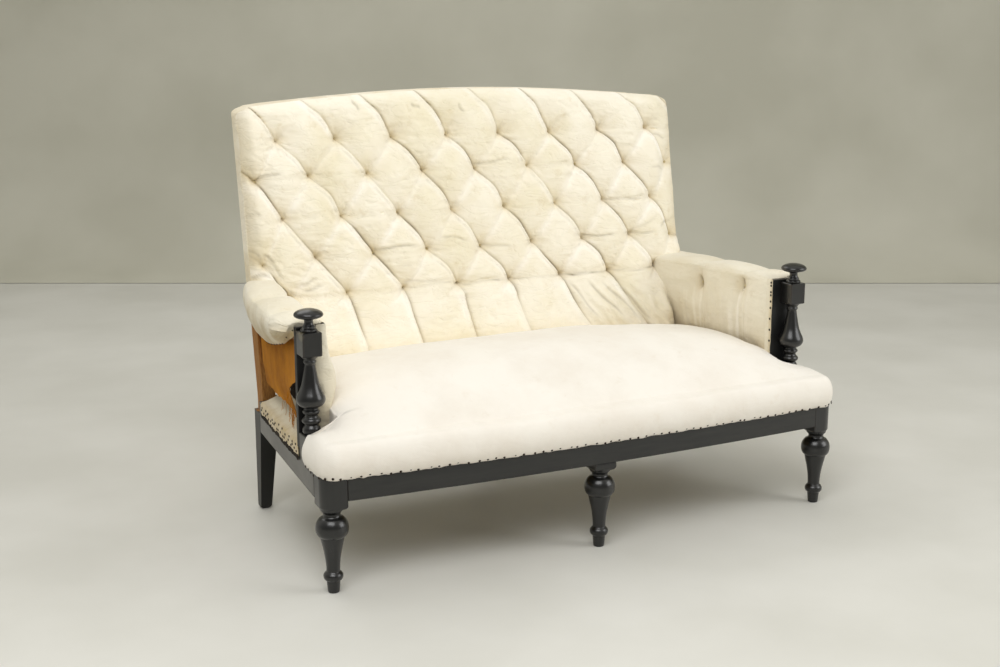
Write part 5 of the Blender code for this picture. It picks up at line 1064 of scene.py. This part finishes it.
    # painted highlights on the gathered streaks, and painted shade along each fold line
    marks = {"soilAndShade": np.clip(armSoilAndShade, 0, 1), "paintedHighlight": 0.75 * np.clip(streak, 0, 1) * gathered * innerPart,
             "crease": np.clip(paintedFoldShade, 0, 1) * innerPart}
    marks = {mark: np.pad(values, ((0, 0), (0, len(lining)))).ravel() for mark, values in marks.items()}
    ends = [np.arange(wide)[None, ::-1], (len(station) - 1) * wide + np.arange(wide)[None]]
    pad = addPiece(f"padded_arm_{label}", [(rings.reshape(-1, 3), [gridFaces(len(station), wide, True), *ends])],
                   armCalico, (f"arm_pad_{label}",), arm["sharp"], threads=threads, marks=marks)
    armPieces[label] = rings

    skinPoints = rings[:, :count].reshape(-1, 3)
    spots = []
    for tuft in arm["buttons"]:
        wanted = sofa["boardBack"] + tuft * (armEnd - sofa["boardBack"])
        innerOnly = np.where(side * skinPoints[:, 0] < sofa["boardInner"], 0, 1)
        height = arm["tieLevel"][0] + arm["tieLevel"][1] * tuft
        nearest = (np.hypot(skinPoints[:, 1] - wanted, skinPoints[:, 2] - height) + innerOnly).argmin()
        spots.append(skinPoints[nearest] - (side * 0.0004, 0, 0))
    addPiece(f"covered_arm_buttons_{label}", [domes(spots, [(-side, 0, 0)] * 2, *arm["button"])], tieCotton,
             (f"arm_buttons_{label}",))
print("Arms made")


# Cloth and hessian that hang at the arms

hangings = {
    "tack": (0.0030, 0.0016),  # radius and height of a head
    "slingTop": 0.4975, "slingLow": 0.3300, "slingThick": 0.0014, "torn": (0.064, 0.003),
    "threads": 26, "threadRadius": 0.00045, "threadLength": (0.012, 0.038),
    "rest": 0.2762, "hang": 0.2500, "cuts": (0, 0.30, 0.62, 0.72, 0.80, 1.0),  # the flap, and where its section turns
    "facingLow": 0.3020, "facingTall": 0.2310,
    "facingTacks": (0.529, 0.519, 0.505, 0.494, 0.481, 0.463, 0.437, 0.409, 0.383),
}
tackSpots, tackFacing = [], []


def addTacks(places, normals):
    # tacks to be made with all the others, each facing along its normal
    tackSpots.append(places)
    tackFacing.append(np.broadcast_to(normals, places.shape))


def sideFace(y):
    # outer face of the side rails, which close in towards the back
    start = sofa["frontAxis"] + sofa["halfBlock"]
    return sofa["sideX"] + (y - start) / (sofa["postFront"] - start) * (sofa["rearX"] - sofa["sideX"])


for side, label in ((-1, "left"), (1, "right")):
    # sling: a sheet from the arm rail's underside that bellies outwards to a slanting lower edge
    u, v = np.meshgrid(np.linspace(0, 1, 64), np.linspace(0, 1, 48))
    start, end = sofa["boardBack"] + 0.0006, sofa["postFront"] - 0.0006
    share = u * (end - start) / (armEnd - start)
    plane = innerFront + share * (innerRear - innerFront) + 0.0040
    lower = hangings["slingLow"] - 0.012 * (1 - smooth(u, 0.04, 0.30)) + 0.030 * smooth(u, 0.82, 1.0)
    z = hangings["slingTop"] - v * (hangings["slingTop"] - lower - 0.0030 * softNoise(u * 46, 2.5, 81))
    y = start + u * (end - start) + np.maximum(0, lean(z)) * u * 0.9
    # its front edge has torn away from the board towards the bottom
    torn, ragged = hangings["torn"]
    torn = torn * smooth(v, 0.42, 0.66) + ragged * softNoise(v * 24, 4.5, 95) * smooth(v, 0.4, 0.6)
    y = y + torn * (1 - u) ** 2.4
    outer = railFront + share * (sofa["stileOut"] - railFront) - plane
    tied = np.clip(outer - arm["railWidth"], 0, None)
    drop = (0.76 + 0.24 * np.sin(np.pi / 2 * np.clip(v / 0.25, 0, 1))) * (1 - 0.12 * smooth(v, 0.72, 1.0))
    drop = drop * (1 - 0.22 * (1 - smooth(u, 0.1, 0.6)) * smooth(v, 0.5, 1.0)) * (1 - 0.75 * smooth(u, 0.86, 1.0))
    ripple = 0.0016 * softNoise(u * 7, v * 2.2, 82) * np.sin(np.pi * v) * np.sin(np.pi * u)
    x = plane + 0.0011 + np.maximum(tied * (1 - v) ** 2, (outer - 0.0040) * drop) + ripple
    near = together(side * x, y, z)
    far = near + (side * hangings["slingThick"], 0, 0)
    parts = [closedSheet(near, far)]
    # loose threads that hang from the front edge
    random = np.random.default_rng(90 + side)
    down = np.linspace(0, 1, 9)
    for k in range(hangings["threads"]):
        length, sway = random.uniform(*hangings["threadLength"]), random.uniform(-0.007, 0.007)
        step = random.choice(46, 1)[0]
        root = far[46 - step // 3, random.integers(0, 9)] if k % 2 else far[-1, random.integers(0, 26)]
        path = together(root[0] + side * (0.0015 + 0.004 * down * random.uniform(0.2, 1)),
                        root[1] + sway * down + 0.0015 * np.sin(7 * down + k), root[2] - length * down)
        parts.append(alongPath(path, hangings["threadRadius"], 5))
    threads = bothFaces(y, z)
    threads = np.pad(threads, ((0, sum(len(part[0]) for part in parts) - len(threads)), (0, 0)))
    sling = addPiece(f"hung_hessian_{label}", parts, slingHessian, (f"arm_hessian_{label}",),
                     threads=threads)

    # dark old stuffing shows where it has torn: a dark sheet that also paints the shade inside the gap
    u, v = np.meshgrid(np.linspace(0, 1, 80), np.linspace(0, 1, 40))
    hole = innerFront + 0.0106 - 0.015 * u + 0.0040 * np.sin(np.pi * v) * np.sin(np.pi * u)
    hole = hole + 0.0016 * softNoise(u * 29, v * 14, 96)
    stuffing = together(side * hole, sofa["boardBack"] + 0.0008 + u * 0.250, 0.3080 + 0.1080 * v)
    tuftPiece = addPiece(f"torn_lining_{label}", [closedSheet(stuffing - (side * 0.0016, 0, 0), stuffing)], darkClothAndShade,
                         threads=bothFaces(stuffing[..., 1], stuffing[..., 2]))

    # flap: calico drawn down the panel, out over the side rail and over its edge, tacked in two rows
    u, v = np.meshgrid(np.linspace(0, 1, 90), np.linspace(0, 1, 40))
    y = sofa["boardBack"] + 0.0006 + 0.93 * u * (sofa["postFront"] - 0.0009 - sofa["boardBack"])
    plane = innerFront + 0.93 * u * (innerRear - innerFront)
    face, rest = sideFace(y) + 0.0006, hangings["rest"]
    hang = hangings["hang"] + 0.0030 * softNoise(u * 34, 1.5, 84)
    lowRear, lowFront = smooth(u, 0.66, 1.0), 1 - smooth(u, 0.05, 0.26)
    xs = [plane + 0.004, plane + 0.010, face - 0.012, face - 0.003, face + 0.0006, face + 0.0006]
    zs = [0.3322 - 0.036 * lowRear - 0.024 * lowFront, 0.3090 - 0.020 * lowRear - 0.010 * lowFront,
          rest + 0.006 - 0.003 * lowRear, rest + 0.0018, rest - 0.0022, hang]
    x, z = 0 * u, 0 * u
    cuts = hangings["cuts"]
    for k, (low, high) in enumerate(zip(cuts, cuts[1:])):
        within = (v >= low) & ((v < high) | (high == 1))
        w = (v - low) / (high - low)
        x = np.where(within, xs[k] + (xs[k + 1] - xs[k]) * w, x)
        z = np.where(within, zs[k] + (zs[k + 1] - zs[k]) * w, z)
    x = x + 0.0012 * np.abs(softNoise(u * 22, v * 3, 85)) * smooth(v, 0.05, 0.3)
    z = z + 0.0012 * softNoise(u * 16, v * 5, 86) * smooth(v, 0.05, 0.2) * (1 - smooth(v, 0.6, 0.7))
    near = together(side * x, y, z)
    slope = together(side * (smooth(v, 0.6, 0.8) + 0.35), 0, 1 - smooth(v, 0.62, 0.82))
    slope /= np.linalg.norm(slope, axis=-1, keepdims=True)
    far = near + 0.0012 * slope
    flap = addPiece(f"tacked_flap_{label}", [closedSheet(near, far)], armCalico, (f"arm_flap_{label}",),
                    threads=bothFaces(y, v * 0.12),
                    marks={"soilAndShade": np.tile((0.55 * smooth(v, 0.55, 0.8) + 0.45).ravel(), 2)})
    random = np.random.default_rng(120 + side)
    for number, level in ((19, 0.92), (11, 0.83)):
        share = (np.arange(number) + 0.5 + random.uniform(-0.25, 0.25, number)) / number
        j = np.clip((level + random.uniform(-0.03, 0.03, number)) * 39, 0, 39).astype(int)
        i = (share * 89).astype(int)
        addTacks(far[j, i], slope[j, i])

    # a strip of old blackened cloth lies under the flap's raw edge, dark also as painted shade beneath that edge
    stripZ = hang + 0.0040 - v * (0.0125 + 0.0014 * softNoise(u * 30, 6.5, 89))
    stripX = face + 0.0016 + 0.0012 * np.sin(np.pi * v) + 0.0008 * np.abs(softNoise(u * 40, v * 2, 88))
    strip = together(side * stripX, y, stripZ)
    stripBack = strip - (side * 0.0010, 0, 0)
    clothAndShadeStrip = addPiece(f"edge_strip_{label}", [closedSheet(stripBack[::3], strip[::3])], darkClothAndShade,
                      threads=bothFaces(y[::3], stripZ[::3]))

    # facing: the arm cover's front edge, turned over the board's inner edge
    u, v = np.meshgrid(np.linspace(0, 1, 12), np.linspace(0, 1, 60))
    low, tall = hangings["facingLow"], hangings["facingTall"]
    z = low + v * tall
    if side > 0:
        # the right one is tacked to the board, and soiled along its raw edge
        y = sofa["boardFront"] + 0.0010 + 0.0012 * softNoise(v * 18, 0.5, 87) * (1 - u) + u * 0.0180
        bulge = 0.0012 + 0.0035 * u ** 2.2 * np.sin(np.pi * np.clip(0.20 + 0.75 * (0.528 - z) / 0.195, 0, 1))
        near = together(sofa["boardInner"] - 0.0002, y, z)
        far = together(sofa["boardInner"] - 0.0010 - bulge, y, z)
        worn = 0.5 * (1 - smooth(u, 0.1, 0.6)) + 0.15
        addTacks(far[((np.array(hangings["facingTacks"]) - low) / tall * 59).astype(int), 2], (-1.0, 0.0, 0.0))
    else:
        # the left one lies loose over the board's front, from the post round to the swollen stuffing
        postRadius = np.interp(z, *(np.array(turnings["vase"]).T / 1000))
        postRadius = np.where((z < 0.3095) | (z > 0.4740), 0.021, postRadius)
        outerX = np.minimum(0.6000, sofa["postX"] - postRadius - 0.0014)
        out, height, width = arm["pastBoard"]
        innerX = sofa["boardInner"] - 0.0012 - out * bell(z - height, width)
        middle = sofa["boardInner"] + 0.004
        bendAngle = np.pi / 2 * np.clip((u - 0.35) / 0.65, 0, 1)
        x = np.where(u < 0.35, outerX + (middle - outerX) * u / 0.35,
                     middle - (middle - innerX) * np.sin(bendAngle) ** 0.3)
        ruck = 0.0012 * softNoise(u * 3, v * 16, 97) * np.sin(np.pi * u)
        raised = 0.0040 * np.sin(np.pi * np.clip(u / 0.6, 0, 1)) * smooth(z, 0.31, 0.35) * (1 - smooth(z, 0.50, 0.53))
        y = sofa["boardFront"] - 0.0014 - raised + ruck
        y = y + 0.0300 * (1 - np.cos(bendAngle)) ** 1.3 + 0.0170 * smooth(v, 0.955, 1.0)
        z = np.minimum(low + v * 0.2440, 0.5336)
        far = together(-x, y, z)
        near = far + 0.0010 * together(-np.sin(bendAngle), np.cos(bendAngle), 0)
        # the left one darkens towards its foot
        worn = 0.32 * (1 - smooth(v, 0.15, 0.85))
    facingPiece = addPiece(f"turned_edge_{label}", [closedSheet(near, far)], armCalico,
                           threads=bothFaces(y, z), marks={"soilAndShade": np.tile(worn.ravel(), 2)})

    # tacks along the ragged lower edge of the arm's outer roll
    addTacks(armPieces[label][(np.arange(14) / 14 * 148).astype(int) + 3, 12], (side * 0.8, 0.0, -0.6))
print("Hangings made")


# Tacks

# above the seat cover's lower edge, along the front and round both corners
random = np.random.default_rng(140)
across = np.linspace(-0.612, 0.612, 58) + random.uniform(-0.004, 0.004, 58)
inFront = np.where(seatEdge[:, 1] < -0.318, 0, 9)
nearest = (np.abs(seatSkirt[-4][:, 0] - across[:, None]) + inFront).argmin(1)
rises = random.uniform(0.0025, 0.0065, 58) - 0.003
addTacks(seatSkirt[-4][nearest] + rises[:, None] * (0, 0, 1), (0.0, -1.0, 0.0))
for side in (-1, 1):
    angle = np.radians((12, 40, 66))
    outwards = together(side * np.sin(angle), -np.cos(angle), 0)
    addTacks((side * sofa["legX"], sofa["frontAxis"], 0.2525) + 0.0325 * outwards, outwards)
    y = np.array([-0.318, -0.297, -0.276, -0.255])
    addTacks(together(side * (sideFace(y) + 0.0052), y, 0.2530), (side, 0.0, 0.0))
# at the rear of the frame, in rows that hold the back's cover and hessian: x, height and depth before the lean
upper, lower, across = np.arange(0.600, 0.930, 0.028), np.arange(0.365, 0.570, 0.030), np.arange(-0.540, 0.541, 0.030)
rows = [(-0.5680, upper, 0.2523), (-0.5560, lower, 0.24822), (0.5680, upper, 0.2523), (0.5560, lower, 0.24822),
        (across, 0.9050, 0.24862), (across, 0.3600, 0.24812)]
for x, z, depth in rows:
    addTacks(together(x, depth + lean(z), z), (0.0, 1.0, -sofa["rake"]))
spots = np.concatenate(tackSpots)
addPiece("upholstery_tacks", [domes(spots, np.concatenate(tackFacing), *hangings["tack"])], tackBlack)
print("Tacks made", len(spots))


# Springs

spring = {"wire": 0.0017, "end": 0.042, "waist": 0.026, "turns": 3, "points": 96}
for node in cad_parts:
    if node.startswith("seat_spring"):
        # helix whose radius is drawn in by a half sine wave: x and y turn, z climbs evenly
        low, high = map(np.array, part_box(node))
        share = np.linspace(0, 1, spring["points"])
        radius = spring["end"] + np.sin(np.pi * share) * (spring["waist"] - spring["end"])
        turn = 2 * np.pi * spring["turns"] * share + np.pi / 2
        path = together((low[0] + high[0]) / 2 + radius * np.cos(turn),
                        high[1] - spring["end"] - spring["wire"] + radius * np.sin(turn),
                        low[2] + spring["wire"] + share * (high[2] - low[2] - 2 * spring["wire"]))
        addPiece(f"coiled_{node}", [alongPath(path, spring["wire"])], springWire, (node,))
print("Springs made")


# Webs and plain hessian: thin sheets stretched over the frame

stretched = {"web": 0.0012, "hessian": 0.0013, "slack": 0.0009, "weave": 0.0015}
seatRails = ["bowed_front_rail", "eased_back_seat_rail"]
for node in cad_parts:
    if "web_" not in node and node not in ("back_hessian", "outside_back_hessian", "seat_hessian"):
        continue
    low, high = map(np.array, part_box(node))
    finish, slotName, rests, threads = webHessian, "webbing", seatRails, None
    if node.startswith("cross_web"):
        # flat along y, with a little slack between its tacks
        u, v = np.meshgrid(np.linspace(low[0], high[0], 9), np.linspace(low[1], high[1], 120))
        drop = 0.0004 * (1 + softNoise(u / 0.03, v / 0.05, 91)) * smooth(np.abs(v - v.mean()), 0.29, 0.27)
        far = together(u + 0.0006 * softNoise(v / 0.03, 0.5, 92), v, high[2] - 0.0001 - drop)
        near = far - (0, 0, stretched["web"] - 0.0001)
    elif node.startswith("long_web"):
        # goes over and under the four cross webs by turns: z is a step at each of them
        u, v = np.meshgrid(np.linspace(low[1], high[1], 9), np.linspace(low[0], high[0], 260))
        lift = sum((-1) ** (i + int(node[-1])) * (1 - smooth(np.abs(v - 0.285 * (i - 1.5)), 0.0263, 0.049))
                   for i in range(4))
        far = together(v, u, (low[2] + high[2]) / 2 + stretched["web"] / 2 + stretched["weave"] * lift)
        near, rests = far - (0, 0, stretched["web"]), ["eased_side_rail_left", "eased_side_rail_right"]
    elif node == "seat_hessian":
        # domed by the springs
        v, share = np.meshgrid(np.linspace(0, 1, 90), np.linspace(-1, 1, 150))
        frontEnd, rearEnd = -0.3172, 0.2076
        y = frontEnd + v * (rearEnd - frontEnd)
        x = share * (sofa["boardInner"] - 0.0008 - 0.0160 * smooth(y, sofa["boardBack"] + 0.1, rearEnd))
        near = together(x, y, sofa["railTop"] + 0.0004 + springDome(x, y))
        far, slotName, threads = near + (0, 0, stretched["hessian"]), "hessian", bothFaces(x, y)
    else:
        # leaning sheet: y follows the rake, with a little slack between the bars of the frame
        u, v = np.meshgrid(np.linspace(low[0] + 0.0005, high[0] - 0.0005, 170), np.linspace(low[2], high[2], 90))
        free = smooth(v, 0.393, 0.43) * (1 - smooth(v, 0.84, 0.878))
        slack = 1 + softNoise(u / 0.09, v / 0.12, 93) + 0.5 * softNoise(u / 0.03, v / 0.2, 94)
        base = low[1] - lean(low[2]) + lean(v)
        if node.startswith("outside"):
            base = base + 0.0001 + stretched["slack"] * free * slack
        near = together(u, base, v)
        far, finish, slotName = near + (0, stretched["hessian"], 0), flatHessian, "hessian"
        rests = ["eased_back_lower_rail", "eased_crest_rail"]
    threads = bothFaces(u, v) if threads is None else threads
    addPiece(f"stretched_{node}", [closedSheet(near, far)], finish, (node,), threads=threads)
print("Webs and hessian made")


# Stage, light and camera

studio = {
    "air": "e4e2da", "world": 1.02, "key": 78.5, "fill": 47.0, "back": 20.0,
    "floor": ("limewashedBoards", 0.55, 2.2, "d9d8d2", "d0cfc8"),  # roughness, scale of its clouds and two colours
    "backdrop": ("backdropCloth", 0.9, 1.3, "cccabc", "bfbdae"),
    "eye": (-1.5204, -2.866765, 1.1320), "yaw": 26.78, "pitch": 12.41, "lens": 50.0, "sensor": 36.0,
}


def stageSheet(name, points, faces):
    # limewashed boards or cloth: pale and matt, faintly clouded between two colours
    finish, rough, scale, first, second = studio[name]
    material, tree = newFinish(finish, {"Roughness": rough})
    cloud = put(tree, "TexNoise", {"Vector": put(tree, "TexCoord", {}, "Object"), "Scale": scale, "Detail": 4.0})
    share = put(tree, "MapRange", {0: cloud, 1: 0.35, 2: 0.65})
    feed(tree, {"Base Color": put(tree, "Mix", {"data_type": "RGBA", 0: share, 6: first, 7: second}, 2)})
    mesh = bpy.data.meshes.new(name)
    mesh.from_pydata(points, [], faces)
    mesh.shade_smooth()
    mesh.materials.append(material)
    placeObject(name, mesh)


stageSheet("floor", [(-9, -9, 0), (9, -9, 0), (9, 9, 0), (-9, 9, 0)], [(0, 1, 2, 3)])
# a pale sweep of cloth stands behind, square to the camera: level, then a quarter round, then upright
yaw, bend = math.radians(studio["yaw"]), np.radians(np.linspace(15, 90, 6))
away = np.concatenate([[6.2], 6.2 + 0.6 * np.sin(bend), [6.8]])[:, None]
rises = np.concatenate([[0.002], 0.6 - 0.598 * np.cos(bend), [6.0]])[:, None]
runs = np.array([[-7.0, 7.0]])
sweep = together(studio["eye"][0] + away * math.sin(yaw) + runs * math.cos(yaw),
                 studio["eye"][1] + away * math.cos(yaw) - runs * math.sin(yaw), rises)
stageSheet("backdrop", sweep.reshape(-1, 3).tolist(), gridFaces(len(rises), 2).tolist())

world = bpy.data.worlds.new("studio")
world.use_nodes = True
background = world.node_tree.nodes["Background"]
background.inputs["Color"].default_value = tone(studio["air"])
# the room is pale behind the sofa and overhead, and dim behind the camera
towards = put(world.node_tree, "TexCoord", {}, "Generated")
facing = put(world.node_tree, "VectorMath", {"operation": "DOT_PRODUCT", 0: towards, 1: (0.40, 0.80, 0.45)}, "Value")
strength = put(world.node_tree, "MapRange", {0: facing, 1: -0.5, 2: 0.5, 3: 0.34, 4: studio["world"]})
world.node_tree.links.new(strength, background.inputs["Strength"])
bpy.context.scene.world = world


def addLamp(name, position, target, size, power):
    # a rectangular lamp, turned so that it shines from its position to the target
    lamp = bpy.data.lights.new(name, "AREA")
    lamp.shape, lamp.size, lamp.size_y, lamp.energy = "RECTANGLE", size[0], size[1], power
    holder = placeObject(name, lamp)
    holder.location = position
    x, y, z = np.array(target, float) - np.array(position, float)
    holder.rotation_euler = Euler((math.atan2(math.hypot(x, y), -z), 0, math.atan2(y, x) - math.pi / 2))


addLamp("keyLight", (-1.6, -2.2, 3.3), (0, 0, 0.5), (2.6, 2.0), studio["key"])
addLamp("fillLight", (2.8, -2.4, 1.8), (0, 0, 0.5), (2.0, 2.0), studio["fill"])
addLamp("backLight", (-0.6, 2.2, 3.0), (0, 0, 0.6), (2.4, 1.4), studio["back"])

camera = bpy.data.cameras.new("camera")
camera.lens, camera.sensor_width = studio["lens"], studio["sensor"]
eye = placeObject("camera", camera)
eye.location = studio["eye"]
eye.rotation_euler = Euler((math.radians(90 - studio["pitch"]), 0, math.radians(-studio["yaw"])))
bpy.context.scene.camera = eye
bpy.context.scene.view_settings.view_transform = "Standard"
print("Stage set")
